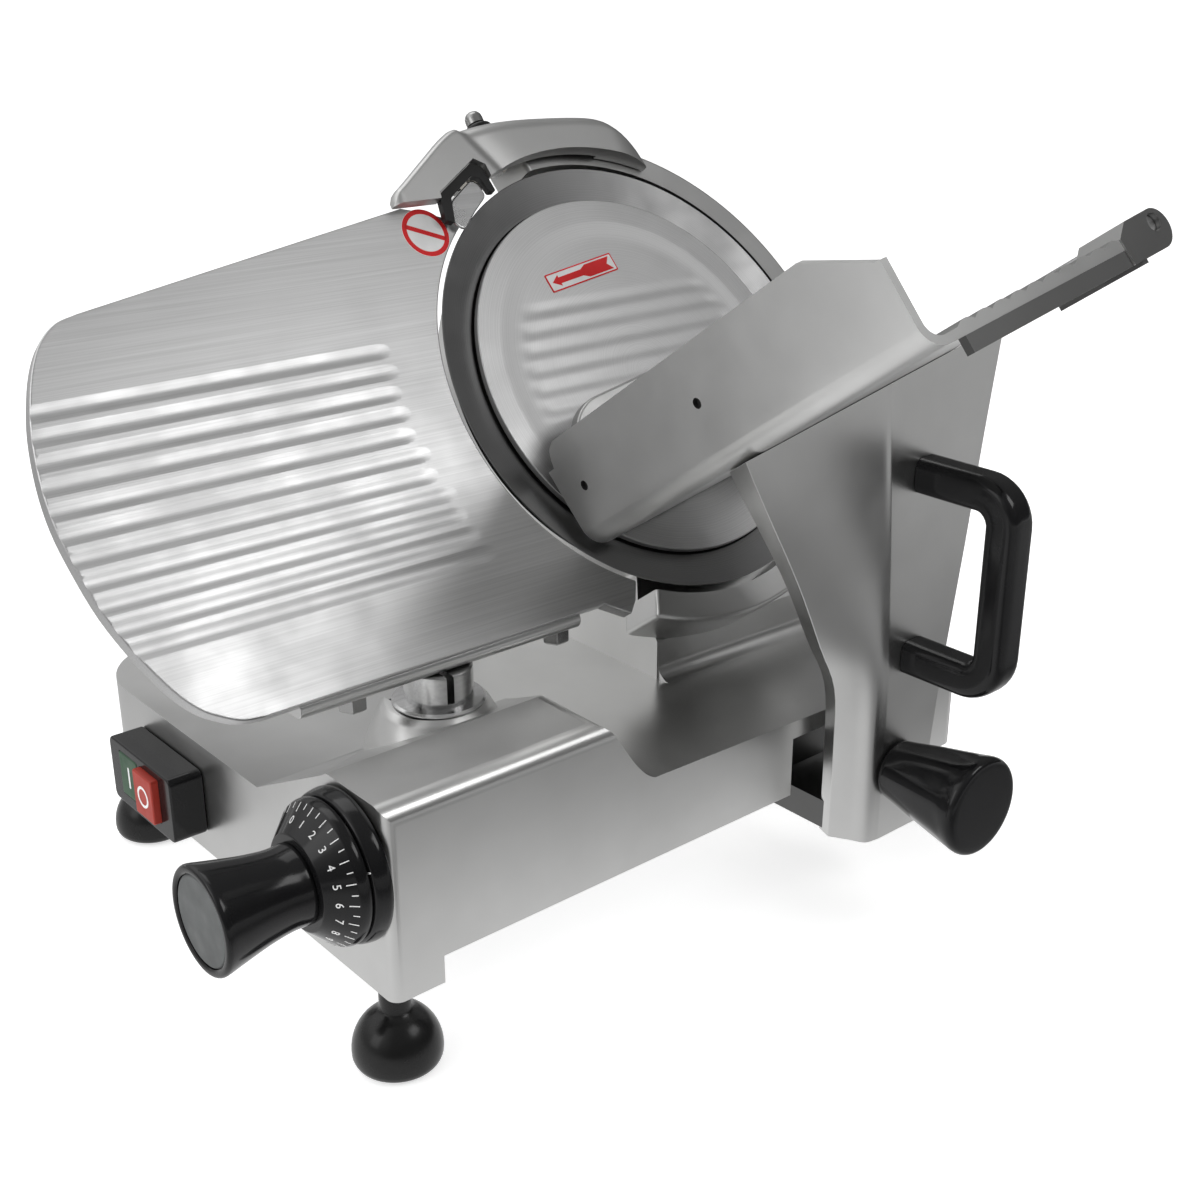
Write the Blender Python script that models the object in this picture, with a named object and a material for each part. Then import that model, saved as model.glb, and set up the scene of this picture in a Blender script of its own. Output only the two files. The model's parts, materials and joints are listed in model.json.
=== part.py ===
"""Gravity-feed deli slicer with a 250 mm blade, built as separate working pieces.

Axes: +X runs along the carriage travel, away from the dial end; -Y is the carriage
side; +Z is up. Everything is drawn from a datum on the ground under the blade centre,
level with the front wall, and set down at the end on the middle of its footprint.
"""
import math

import bmesh
import bpy
from mathutils import Matrix, Vector

MM = 0.001
GAP = 0.3                      # clearance left between touching pieces

# ---- driving sizes, millimetres -------------------------------------------------
BLADE_R = 125.0
COVER_R = 105.0
GUARD_R = 144.0
GUARD_BORE = 128.5
BLADE_LEAN = math.radians(36.75)
BLADE_CENTRE = Vector((0.0, 140.0, 254.5))

BASE_X0 = -272.0
BASE_X1 = 115.0
BASE_Y1 = 300.0
SKIRT = 27.0                   # thickness of the end skirts that carry the feet
SKIRT_Z = 43.0                 # underside of the skirts
SILL_Z = 57.0                  # underside of the long walls
DECK_LEFT_Z = 105.0
DECK_RIGHT_Z = 97.0
LEDGE_Z = 139.0
LEDGE_Y = 45.0
RAMP_Y = 113.0
WALL = 5.0
FLOOR_Z = 60.0                 # underside of the bottom plate

NECK_X0 = -42.0
NECK_X1 = 95.0
NECK_Y = 84.0
NECK_N = -34.3                 # plane the blade housing bolts to

DIAL_Y = 29.0
DIAL_Z = 102.5
COLUMN_X = -183.0
COLUMN_Y = 87.0
COLUMN_R = 17.0
GAUGE_TRAVEL = 15.0
DIAL_TURN = math.radians(300)
CAM_R = 8.2
FOLLOWER_R = 4.0
FOLLOWER_Y = DIAL_Y + CAM_R + FOLLOWER_R + 0.8

CARRIAGE_FACE_Y = -36.0
KNOB_X = 17.0
KNOB_Z = 74.0
HANDLE_X = 23.0
ROD_Y = 62.0
ROD_Z = 48.0
ROD_R = 7.0

TRAY_LENGTH = 258.0
WALL_HEIGHT = 57.5
TRAY_FLOOR = 148.0
PUSHER_ROD_W = 160.5
PUSHER_ROD_M = 5.0
PUSHER_ROD_R = 4.0
BOSS_R = 9.4

FOOT_R = 21.0

COVER_LIP_R = 133.0
GRIND_X = -38.0
GRIND_N = -6.5
HONE_X = -45.0
HONE_S = 134.0

MOTOR_X = 26.0
MOTOR_S = -60.0
MOTOR_R = 43.0
BLADE_PULLEY_R = 24.0
MOTOR_PULLEY_R = 12.0

# ---- frames ------------------------------------------------------------------------
X = Vector((1, 0, 0))
Y = Vector((0, 1, 0))
Z = Vector((0, 0, 1))
SLOPE = Vector((0, math.sin(BLADE_LEAN), math.cos(BLADE_LEAN)))
NORMAL = X.cross(SLOPE)


def frame(origin, u, v):
    """Matrix taking (u, v, w) millimetres to world metres, w = u x v."""
    w = u.cross(v)
    turn = Matrix((u, v, w)).transposed().to_4x4()
    return Matrix.Scale(MM, 4) @ Matrix.Translation(origin) @ turn


WORLD = frame(Vector(), X, Y)
SIDE = frame(Vector(), X, Z)                   # w = -Y
END = frame(Vector(), Y, Z)                    # w = +X
BLADE = frame(BLADE_CENTRE, X, SLOPE)          # w = blade axis, toward the carriage

TRAY_AXIS = Vector((-0.063, -0.8306, 0.5532)).normalized()
TRAY_ROLL = math.radians(9.3)
TRAY_RAW = X * math.cos(TRAY_ROLL) + SLOPE * math.sin(TRAY_ROLL)
TRAY_ACROSS = (TRAY_RAW - TRAY_AXIS * TRAY_RAW.dot(TRAY_AXIS)).normalized()
TRAY_UP = TRAY_AXIS.cross(TRAY_ACROSS)
TRAY_ORIGIN = BLADE_CENTRE + X * -86.0 + SLOPE * -88.0 + NORMAL * 3.0
TRAY = frame(TRAY_ORIGIN, TRAY_ACROSS, TRAY_UP)


# ---- mesh helpers ------------------------------------------------------------------
def clear_scene():
    for obj in list(bpy.data.objects):
        bpy.data.objects.remove(obj)


def material(name, colour, metallic, roughness):
    mat = bpy.data.materials.get(name) or bpy.data.materials.new(name)
    mat.use_nodes = True
    shader = mat.node_tree.nodes["Principled BSDF"]
    shader.inputs["Base Color"].default_value = (*colour, 1.0)
    shader.inputs["Metallic"].default_value = metallic
    shader.inputs["Roughness"].default_value = roughness
    return mat


FINISH = {
    "cast": ((0.72, 0.72, 0.71), 1.0, 0.38),
    "steel": ((0.62, 0.63, 0.64), 1.0, 0.25),
    "chrome": ((0.8, 0.8, 0.8), 1.0, 0.08),
    "dark_steel": ((0.16, 0.16, 0.17), 1.0, 0.45),
    "black": ((0.015, 0.015, 0.015), 0.0, 0.3),
    "rubber": ((0.02, 0.02, 0.02), 0.0, 0.6),
    "grey": ((0.12, 0.13, 0.13), 0.0, 0.5),
    "green": ((0.03, 0.12, 0.06), 0.0, 0.4),
    "red": ((0.6, 0.03, 0.03), 0.0, 0.4),
    "stone": ((0.75, 0.72, 0.66), 0.0, 0.9),
    "painted": ((0.2, 0.22, 0.24), 0.5, 0.5),
}


def new_object(name, bm, finish, matrix=None):
    if matrix is not None:
        bmesh.ops.transform(bm, matrix=matrix, verts=bm.verts)
    bmesh.ops.remove_doubles(bm, verts=bm.verts, dist=1e-6)
    bmesh.ops.recalc_face_normals(bm, faces=bm.faces)
    mesh = bpy.data.meshes.new(name)
    bm.to_mesh(mesh)
    bm.free()
    obj = bpy.data.objects.new(name, mesh)
    bpy.context.scene.collection.objects.link(obj)
    if finish:
        mesh.materials.append(material("mat_" + name, *FINISH[finish]))
    return obj


def prism(name, outline, w0, w1, matrix, finish=None):
    """Outline in (u, v) extruded from w0 to w1."""
    bm = bmesh.new()
    low = [bm.verts.new((u, v, w0)) for u, v in outline]
    high = [bm.verts.new((u, v, w1)) for u, v in outline]
    bm.faces.new(low)
    bm.faces.new(high)
    count = len(outline)
    for i in range(count):
        j = (i + 1) % count
        bm.faces.new((low[i], low[j], high[j], high[i]))
    return new_object(name, bm, finish, matrix)


def loft(name, rings, matrix, finish=None):
    """Closed rings of (u, v, w) points with equal counts, capped at both ends."""
    bm = bmesh.new()
    made = [[bm.verts.new(p) for p in ring] for ring in rings]
    count = len(rings[0])
    for lower, upper in zip(made, made[1:]):
        for i in range(count):
            j = (i + 1) % count
            bm.faces.new((lower[i], lower[j], upper[j], upper[i]))
    bm.faces.new(made[0])
    bm.faces.new(made[-1])
    return new_object(name, bm, finish, matrix)


def lathe(name, profile, matrix, finish=None, steps=48):
    """Closed profile of (radius, w) turned about the w axis."""
    bm = bmesh.new()
    rings = []
    for r, w in profile:
        if r < 1e-6:
            rings.append([bm.verts.new((0, 0, w))])
            continue
        turns = [2 * math.pi * k / steps for k in range(steps)]
        rings.append([bm.verts.new((r * math.cos(a), r * math.sin(a), w)) for a in turns])
    pairs = list(zip(rings, rings[1:] + rings[:1]))
    for a, b in pairs:
        if len(a) == 1 and len(b) == 1:
            continue
        for k in range(steps):
            m = (k + 1) % steps
            if len(a) == 1:
                bm.faces.new((a[0], b[k], b[m]))
            elif len(b) == 1:
                bm.faces.new((a[k], a[m], b[0]))
            else:
                bm.faces.new((a[k], a[m], b[m], b[k]))
    return new_object(name, bm, finish, matrix)


def block(name, low, high, finish=None):
    outline = [(low[0], low[1]), (high[0], low[1]), (high[0], high[1]), (low[0], high[1])]
    return prism(name, outline, low[2], high[2], WORLD, finish)


def cylinder(name, r, w0, w1, matrix, finish=None, steps=48):
    return lathe(name, [(0, w0), (r, w0), (r, w1), (0, w1)], matrix, finish, steps)


def tube(name, r_in, r_out, w0, w1, matrix, finish=None, steps=48):
    return lathe(name, [(r_in, w0), (r_out, w0), (r_out, w1), (r_in, w1)], matrix, finish, steps)


def bake(obj):
    """Replace the mesh with its evaluated form and drop the modifiers."""
    graph = bpy.context.evaluated_depsgraph_get()
    mesh = bpy.data.meshes.new_from_object(obj.evaluated_get(graph))
    old = obj.data
    obj.modifiers.clear()
    obj.data = mesh
    mesh.name = obj.name
    bpy.data.meshes.remove(old)


def combine(obj, tool, operation):
    tool.hide_render = True
    tool.display_type = "WIRE"
    mod = obj.modifiers.new("cut", "BOOLEAN")
    mod.operation = operation
    mod.solver = "EXACT"
    mod.object = tool
    bake(obj)
    bpy.data.objects.remove(tool)
    return obj


def cut(obj, *tools):
    for tool in tools:
        combine(obj, tool, "DIFFERENCE")
    return obj


def join(obj, *tools):
    for tool in tools:
        combine(obj, tool, "UNION")
    return obj


def soften(obj, width, segments=2, angle=35):
    mod = obj.modifiers.new("soften", "BEVEL")
    mod.width = width * MM
    mod.segments = segments
    mod.limit_method = "ANGLE"
    mod.angle_limit = math.radians(angle)
    mod.use_clamp_overlap = True
    bake(obj)
    return obj


def shade(obj, angle=35):
    obj.data.shade_smooth()
    obj.data.set_sharp_from_angle(angle=math.radians(angle))
    return obj


def pivot(obj, point):
    """Move the origin to a world point given in millimetres."""
    at = Vector(point) * MM
    obj.data.transform(Matrix.Translation(-at))
    obj.location = at
    return obj


def turned(matrix, origin, axis_u, axis_v):
    """A frame inside another frame."""
    w = axis_u.cross(axis_v)
    turn = Matrix((axis_u, axis_v, w)).transposed().to_4x4()
    return matrix @ Matrix.Translation(origin) @ turn


def spot(matrix, u, v, w=0.0):
    """World millimetres of a point given in a frame."""
    return (matrix @ Vector((u, v, w))) / MM


def arc(cx, cy, r, start, end, count):
    step = (end - start) / (count - 1)
    angles = [math.radians(start + step * k) for k in range(count)]
    return [(cx + r * math.cos(a), cy + r * math.sin(a)) for a in angles]


def rounded_rect(x0, y0, x1, y1, radii, steps=6):
    """Corner radii in the order (x0,y0), (x1,y0), (x1,y1), (x0,y1)."""
    r0, r1, r2, r3 = radii
    points = arc(x0 + r0, y0 + r0, r0, 180, 270, steps)
    points += arc(x1 - r1, y0 + r1, r1, 270, 360, steps)
    points += arc(x1 - r2, y1 - r2, r2, 0, 90, steps)
    points += arc(x0 + r3, y1 - r3, r3, 90, 180, steps)
    return points


# ---- base ---------------------------------------------------------------------------
def ledge_end(offset):
    """S-shaped right end of the raised front ledge, in (x, z)."""
    return [(-152 - offset, LEDGE_Z - offset), (-146 - offset, 135.5 - offset),
            (-139 - offset, 124 - offset), (-131 - offset, 111 - offset),
            (-121 - offset, 102 - offset), (-108 - offset, 98.6 - offset)]


def ledge_solid(name, offset):
    """Raised ledge and its back ramp; the offset shrinks it for the inside."""
    side = [(BASE_X0 + offset, 80), (BASE_X0 + offset, LEDGE_Z - offset)]
    side += ledge_end(offset) + [(-95 - offset, 80)]
    solid = prism(name, side, -RAMP_Y - 4, -offset, SIDE)
    profile = [(offset, 70), (offset, LEDGE_Z - offset), (LEDGE_Y - offset * 0.6, LEDGE_Z - offset),
               (RAMP_Y, DECK_LEFT_Z - 1.5 - offset * 1.4), (RAMP_Y, 70)]
    if offset == 0:
        profile = [(-2, 70), (-2, LEDGE_Z + 2), (LEDGE_Y - 3, LEDGE_Z + 2),
                   (LEDGE_Y + 1.5, LEDGE_Z - 1), (RAMP_Y, DECK_LEFT_Z - 1.5), (RAMP_Y, 70)]
    envelope = prism(name + "_env", profile, BASE_X0 - 1, -90, END)
    combine(solid, envelope, "INTERSECT")
    return solid


def column_outline(inset, foot):
    left = NECK_X0 + inset
    right = NECK_X1 - inset
    top = [(x, y) for x, y in arc(24, -6, 62 - inset, 20, 160, 9)]
    return [(left, foot), (right, foot), (right, 0)] + top + [(left, 0)]


def base_casting():
    body = prism("base_casting", rounded_rect(BASE_X0, 0, BASE_X1, BASE_Y1, (6, 8, 40, 50), 7),
                 SKIRT_Z, 130, WORLD, "cast")
    deck = [(BASE_X0 - 5, DECK_LEFT_Z), (BASE_X1 + 5, DECK_RIGHT_Z),
            (BASE_X1 + 5, 140), (BASE_X0 - 5, 140)]
    cut(body, prism("deck", deck, -BASE_Y1 - 5, 5, SIDE))
    soften(body, 4, 3, 60)
    join(body, ledge_solid("ledge", 0))
    neck = prism("neck", column_outline(0, -139.6), -158, NECK_N, BLADE)
    lower = block("lower", (NECK_X0, NECK_Y, 80), (NECK_X1, 285, 122))
    join(neck, lower)
    cut(neck, block("rear", (-200, 286, 0), (200, 400, 400)), block("under", (-200, 0, 0), (200, 400, 80)))
    soften(neck, 5, 2, 30)
    join(body, neck)
    boss = lathe("boss", [(0, 90), (38, 90), (36, 108), (32, 119), (26, 129.5), (23, 131), (0, 131)],
                 frame(Vector((COLUMN_X, COLUMN_Y + 3, 0)), X, Y), None, 40)
    join(body, boss)
    hollow_base(body)
    return shade(body, 30)


def hollow_base(body):
    inner = [(BASE_X0 + WALL, WALL), (-28, WALL), (-28, 27), (BASE_X1 - WALL, 27),
             (BASE_X1 - WALL, BASE_Y1 - 40), (BASE_X1 - 40, BASE_Y1 - WALL),
             (BASE_X0 + 45, BASE_Y1 - WALL), (BASE_X0 + WALL, BASE_Y1 - 45)]
    cavity = prism("cavity", inner, FLOOR_Z + 2, 92, WORLD)
    mouth_outline = [(BASE_X0 + SKIRT, WALL), (-28, WALL), (-28, 27), (BASE_X1 - SKIRT, 27),
                     (BASE_X1 - SKIRT, BASE_Y1 - 40), (BASE_X1 - 40, BASE_Y1 - WALL),
                     (BASE_X0 + 45, BASE_Y1 - WALL), (BASE_X0 + SKIRT, BASE_Y1 - 45)]
    mouth = prism("mouth", mouth_outline, 30, FLOOR_Z + 3, WORLD)
    notch = block("notch", (BASE_X0 + SKIRT, -5, 30), (BASE_X1 - SKIRT, BASE_Y1 + 5, SILL_Z))
    recess = block("recess", (-23, -5, 30), (BASE_X1 - SKIRT, 22, 90))
    dial_bay = block("dial_bay", (BASE_X0 + WALL, WALL, 90), (-160, LEDGE_Y - WALL, LEDGE_Z - WALL))
    roller_bay = prism("roller_bay", [(LEDGE_Y - 7, 88), (67, 88), (67, 113), (56, 126), (LEDGE_Y - 7, 126)],
                       BASE_X0 + WALL, -225, END)
    slot = prism("slot", rounded_rect(COLUMN_X - 19, COLUMN_Y - 19, COLUMN_X + 19,
                                      COLUMN_Y + 19 + GAUGE_TRAVEL, (18, 18, 18, 18)), 85, 140, WORLD)
    motor_bay = prism("motor_bay", column_outline(WALL, -134), -152, -55, BLADE)
    belt_bay = prism("belt_bay", column_outline(WALL + 2, -100), -60, NECK_N + 5, BLADE)
    well = block("well", (NECK_X0 + WALL, 95, 80), (NECK_X1 - WALL, 278, 118))
    trim = block("trim", (-200, 281, 0), (200, 400, 400))
    cut(motor_bay, trim)
    shaft_bore = cylinder("shaft_bore", 8.5, BASE_X0 - 5, BASE_X0 + 15,
                          frame(Vector((0, DIAL_Y, DIAL_Z)), Y, Z), None, 32)
    tie_bore = cylinder("tie_bore", 5, -200, -140, BLADE, None, 24)
    rod_bores = cylinder("rod_bores", ROD_R + GAP, BASE_X0 + SKIRT - 8, BASE_X1 - SKIRT + 8,
                         frame(Vector((0, ROD_Y, ROD_Z)), Y, Z), None, 32)
    cut(body, cavity, mouth, notch, recess, dial_bay, roller_bay, slot, motor_bay, belt_bay, well,
        shaft_bore, tie_bore, rod_bores)


def bottom_plate():
    lip = GAP
    outline = [(BASE_X0 + SKIRT + lip, WALL + lip), (-28 - lip, WALL + lip), (-28 - lip, 27 + lip),
               (BASE_X1 - SKIRT - lip, 27 + lip), (BASE_X1 - SKIRT - lip, BASE_Y1 - 41),
               (BASE_X1 - 41, BASE_Y1 - WALL - lip), (BASE_X0 + 46, BASE_Y1 - WALL - lip),
               (BASE_X0 + SKIRT + lip, BASE_Y1 - 46)]
    plate = prism("bottom_plate", outline, FLOOR_Z, FLOOR_Z + 2, WORLD, "steel")
    for k in range(6):
        x = -60 + 16 * k
        cut(plate, block("vent", (x, 190, 50), (x + 6, 250, 70)))
    return plate


def foot(name, x, y):
    at = frame(Vector((x, y, 0)), X, Y)
    dome = [(FOOT_R * math.cos(math.radians(a)), 7 + FOOT_R * 1.05 * math.sin(math.radians(a)))
            for a in (0, 20, 40, 56, 68)]
    profile = [(0, 0), (FOOT_R - 4, 0), (FOOT_R - 1, 2)] + dome
    profile += [(7.5, 28.5), (7.5, SKIRT_Z - GAP), (0, SKIRT_Z - GAP)]
    return shade(lathe(name, profile, at, "rubber", 24))


# ---- blade group --------------------------------------------------------------------
def blade_housing():
    outline = arc(0, 0, GUARD_R, -115, 99, 36) + arc(0, 0, 112, 99, 245, 16)
    body = prism("blade_housing", outline, NECK_N + GAP, -2, BLADE, "cast")
    soften(body, 2.5, 2, 40)
    cut(body, cylinder("bore", GUARD_BORE, -20, 10, BLADE, None, 56))
    cut(body, cylinder("bearing_seat", 17 + GAP, -60, 0, BLADE, None, 28))
    return shade(body, 30)


def blade():
    profile = [(8 + GAP, -8), (103, -8), (106, -5), (124.6, -0.4), (BLADE_R, -0.6), (BLADE_R, -1.0),
               (118, -7.0), (106, -11), (60, -14), (8 + GAP, -14)]
    disc = lathe("blade", profile, BLADE, "dark_steel", 64)
    return pivot(shade(disc, 30), BLADE_CENTRE)


def blade_cover():
    profile = [(0, -4.2), (104, -4.2), (COVER_R, -3.6), (COVER_R, -0.8), (104.2, 0), (101, 0.3), (94, 0),
               (90, -0.9), (0, -0.9)]
    disc = lathe("blade_cover", profile, BLADE, "cast", 56)
    for k in range(11):
        s = 45 - 11 * k
        half = math.sqrt(84 ** 2 - s ** 2)
        at = turned(BLADE, Vector((0, s, 6.3)), Vector((0, 1, 0)), Vector((0, 0, 1)))
        cut(disc, cylinder("groove", 8.0, -half, half, at, None, 12))
    return shade(disc, 25)


def blade_shaft():
    profile = [(4 + GAP, -54), (10, -54), (10, -17.5), (24, -17.5), (24, -14.3), (8, -14.3), (8, -8.6),
               (4 + GAP, -8.6)]
    return pivot(shade(lathe("blade_shaft", profile, BLADE, "steel", 28)), BLADE_CENTRE)


def bearing(name, n0, n1):
    profile = [(10 + GAP, n0), (17, n0), (17, n1), (10 + GAP, n1)]
    return shade(lathe(name, profile, BLADE, "steel", 28))


def pulley(name, x, s, r, bore):
    at = turned(BLADE, Vector((x, s, 0)), Vector((1, 0, 0)), Vector((0, 1, 0)))
    profile = [(bore, -52), (r + 2, -52), (r + 2, -50.5), (r, -50), (r, -40), (r + 2, -39.5),
               (r + 2, -38), (bore, -38)]
    return pivot(shade(lathe(name, profile, at, "cast", 28)), spot(BLADE, x, s))


def tangent_loop(r_big, r_small, clearance):
    """Belt outline round the two pulleys, in the blade frame."""
    distance = math.hypot(MOTOR_X, MOTOR_S)
    heading = math.degrees(math.atan2(MOTOR_S, MOTOR_X))
    lean = math.degrees(math.acos((r_big - r_small) / distance))
    big = arc(0, 0, r_big + clearance, heading + lean, heading + 360 - lean, 20)
    small = arc(MOTOR_X, MOTOR_S, r_small + clearance, heading - lean, heading + lean, 12)
    return big + small


def drive_belt():
    outer = prism("drive_belt", tangent_loop(BLADE_PULLEY_R, MOTOR_PULLEY_R, 3.2), -49.5, -40.5,
                  BLADE, "rubber")
    inner = prism("belt_inner", tangent_loop(BLADE_PULLEY_R, MOTOR_PULLEY_R, GAP), -60, -30, BLADE)
    return shade(cut(outer, inner), 30)


def motor():
    at = turned(BLADE, Vector((MOTOR_X, MOTOR_S, 0)), Vector((1, 0, 0)), Vector((0, 1, 0)))
    profile = [(5.5, -148), (36, -148), (MOTOR_R - 3, -144), (MOTOR_R, -138), (MOTOR_R, -70),
               (MOTOR_R - 3, -64), (20, -62), (20, -59.5), (5.5, -59.5)]
    body = lathe("motor", profile, at, "painted", 36)
    for k in range(12):
        a = math.radians(30 * k)
        fin_at = at @ Matrix.Rotation(a, 4, "Z")
        cut(body, prism("fin", [(MOTOR_R - 3, -3), (MOTOR_R + 5, -3), (MOTOR_R + 5, 3), (MOTOR_R - 3, 3)],
                        -132, -76, fin_at))
    return shade(body, 30)


def motor_plate():
    outline = rounded_rect(NECK_X0 + 16, -116, NECK_X1 - 18, 4, (6, 6, 6, 6), 4)
    plate = prism("motor_plate", outline, -59.2, -56.2, BLADE, "steel")
    at = turned(BLADE, Vector((MOTOR_X, MOTOR_S, 0)), Vector((1, 0, 0)), Vector((0, 1, 0)))
    cut(plate, cylinder("pilot", 9, -70, -50, at, None, 32), cylinder("relief", 6, -70, -50, BLADE, None, 32))
    return plate


def motor_shaft():
    at = turned(BLADE, Vector((MOTOR_X, MOTOR_S, 0)), Vector((1, 0, 0)), Vector((0, 1, 0)))
    return pivot(shade(cylinder("motor_shaft", 5, -146, -37.5, at, "steel", 32)),
                 spot(BLADE, MOTOR_X, MOTOR_S))


def cover_tie_rod():
    rod = lathe("cover_tie_rod", [(0, -190), (4, -190), (4, -4.6), (0, -4.6)], BLADE, "steel", 24)
    return shade(rod)


def cover_knob():
    profile = [(4 + GAP, -193), (13, -193), (17, -188), (17, -172), (12, -166), (4 + GAP, -166)]
    return pivot(shade(lathe("cover_knob", profile, BLADE, "black", 24)), BLADE_CENTRE)


# ---- sharpener ------------------------------------------------------------------------
def sharpener_outline():
    crown = [(-97, 106), (-119, 110), (-117.5, 117), (-110, 123), (-72, 148.5), (-62, 151.5), (-34, 154.5),
             (-5, 155.5), (32, 153), (47, 146), (58, 134), (60, 124)]
    under = arc(0, 0, COVER_LIP_R, 64.5, 108, 12)
    return crown + under + [(-60, 112)]


def grind_frame():
    """Spindle of the grinding stone; w runs up the slope."""
    return turned(BLADE, Vector((GRIND_X, 0, GRIND_N)), Vector((0, 0, 1)), Vector((1, 0, 0)))


def hone_frame():
    """Spindle of the deburring stone; w runs along the blade axis."""
    return turned(BLADE, Vector((HONE_X, HONE_S, 0)), Vector((1, 0, 0)), Vector((0, 1, 0)))


def sharpener_cover():
    """Cast hood: a front wall hanging over the ring and a hollow block over the stones."""
    body = prism("sharpener_cover", sharpener_outline()[::-1], -38, 9, BLADE, "cast")
    soften(body, 7, 3, 40)
    inside = prism("inside", [(-53, 100), (-53, 141), (-34, 147), (28, 147), (28, 90)], -33, 1.4, BLADE)
    sweep = prism("sweep", [(-140, 80), (-48, 80), (-48, 124.5), (-140, 124.5)], -60, 2.5, BLADE)
    ledge = prism("ledge", [(-140, 124), (-56, 124), (-56, 170), (-140, 170)], -60, -9, BLADE)
    ring = cylinder("ring", GUARD_R + 0.6, -60, -1.3, BLADE, None, 56)
    mouth = prism("mouth", [(-95, 96), (-90, 115), (-62, 132.5), (-52, 128), (-54, 100)], -10, 20, BLADE)
    pin_bore = cylinder("pin_bore", 3.5 + GAP, 140, 190, grind_frame(), None, 24)
    hone_bore = cylinder("hone_bore", 3.5 + GAP, -60, -30, hone_frame(), None, 24)
    cut(body, inside, sweep, ledge, ring, mouth, pin_bore, hone_bore)
    return shade(body, 30)


# ---- gauge plate -----------------------------------------------------------------------
def gauge_outline():
    left = [(-298, 81), (-309, 78), (-318, 71), (-325, 61), (-331, 48), (-337, 30), (-341, 8), (-342, -12),
            (-340, -32), (-336, -54), (-329, -75), (-320, -94), (-312, -105), (-304, -111), (-295, -115.5),
            (-284, -117)]
    right = [(-91, -116), (-77, -125), (-71, -119)]
    edge = arc(0, 0, BLADE_R + 2.5, 239, 128, 26)
    return left + right + edge + [(-98, 109), (-112, 113)]


def gauge_plate():
    plate = prism("gauge_plate", gauge_outline(), -8, 0, BLADE, "cast")
    soften(plate, 1.2, 2, 50)
    ends = (-152, -152, -155, -155, -157, -153, -154, -148, -147, -144, -139)
    for k, end in enumerate(ends):
        s = 38 - 11.2 * k
        at = turned(BLADE, Vector((0, s, 6.3)), Vector((0, 1, 0)), Vector((0, 0, 1)))
        cut(plate, lathe("groove", [(0, -360), (7.6, -360), (7.6, end - 6), (6.4, end), (0, end + 3)],
                         at, None, 16))
    foot_line = spot(BLADE, 0, -117, -8)
    rib = prism("rib", [(foot_line.y - 4, foot_line.z + 4), (foot_line.y - 2, 160.4),
                        (101, 160.4), (101, 166), (foot_line.y + 20, 186)], -250, -120, END)
    join(plate, rib)
    return shade(plate, 25)


def gauge_bar():
    section = [(73, 150.5), (100, 150.5), (100, 160), (83, 160), (76.5, 155.2), (73, 155.2)]
    bar = prism("gauge_bar", section, -266, -104, END, "cast")
    soften(bar, 1, 2)
    for x in (-232, -111):
        cut(bar, cylinder("bolt_hole", 4.3, 140, 170, frame(Vector((x, 86, 0)), X, Y), None, 24))
    return shade(bar)


def gauge_bolt(name, x):
    at = frame(Vector((x, 86, 0)), X, Y)
    head = lathe(name, [(0, 141.5), (6.2, 141.5), (7.2, 143), (7.2, 150.2), (4, 150.2), (4, 160), (0, 160)],
                 at, "chrome", 24)
    return shade(head, 20)


def gauge_column():
    at = frame(Vector((COLUMN_X, COLUMN_Y, 0)), X, Y)
    profile = [(0, 91.7), (COLUMN_R - 1, 91.7), (COLUMN_R - 1, 132), (COLUMN_R, 133), (COLUMN_R, 149),
               (COLUMN_R - 1, 150.2), (0, 150.2)]
    return shade(lathe("gauge_column", profile, at, "steel", 32))


def slider_block():
    low, high = (COLUMN_X - 24, COLUMN_Y - 20, 66), (COLUMN_X + 24, COLUMN_Y + 20, 91.4)
    body = block("slider_block", low, high, "cast")
    at = turned(WORLD, Vector((COLUMN_X, 0, 80)), X, Z)
    cut(body, cylinder("rod_hole", 7 + GAP, -200, 0, at, None, 32))
    arm = block("arm", (-262, COLUMN_Y - 16, 80), (COLUMN_X - 22, COLUMN_Y - 4, 87))
    finger = block("finger", (-262, FOLLOWER_Y - 5, 80), (-256, COLUMN_Y - 6, 87))
    post = block("post", (-262, FOLLOWER_Y - 5, 81), (-256, FOLLOWER_Y + 5, DIAL_Z + 5))
    join(body, arm, finger, post)
    return shade(cut(body, cylinder("pin_hole", 2 + GAP, -280, -240, follower_frame(), None, 20)))


def slider_rod():
    at = turned(WORLD, Vector((COLUMN_X, 0, 80)), X, Z)
    return shade(cylinder("slider_rod", 7, -180, -WALL - GAP, at, "steel", 32))


def follower_frame():
    return frame(Vector((0, FOLLOWER_Y, DIAL_Z)), Y, Z)


def follower():
    profile = [(0, -261), (2, -261), (2, -254.5), (FOLLOWER_R, -254.5), (FOLLOWER_R, -245), (0, -245)]
    return shade(lathe("follower_roller", profile, follower_frame(), "steel", 20))


# ---- dial --------------------------------------------------------------------------------
def dial_frame():
    """w runs out of the end face, toward the operator."""
    return frame(Vector((BASE_X0, DIAL_Y, DIAL_Z)), Z, Y)


def index_ring():
    profile = [(9, GAP), (35, GAP), (35.5, 2), (34.5, 8), (33, 9.5), (9, 9.5)]
    return shade(lathe("index_ring", profile, dial_frame(), "black", 48))


def dial_skirt():
    profile = [(7 + GAP, 9.9), (33, 9.9), (33.6, 12), (32.8, 16), (22, 27), (7 + GAP, 27)]
    skirt = lathe("dial_skirt", profile, dial_frame(), "black", 48)
    return pivot(shade(skirt, 25), (BASE_X0, DIAL_Y, DIAL_Z))


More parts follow.
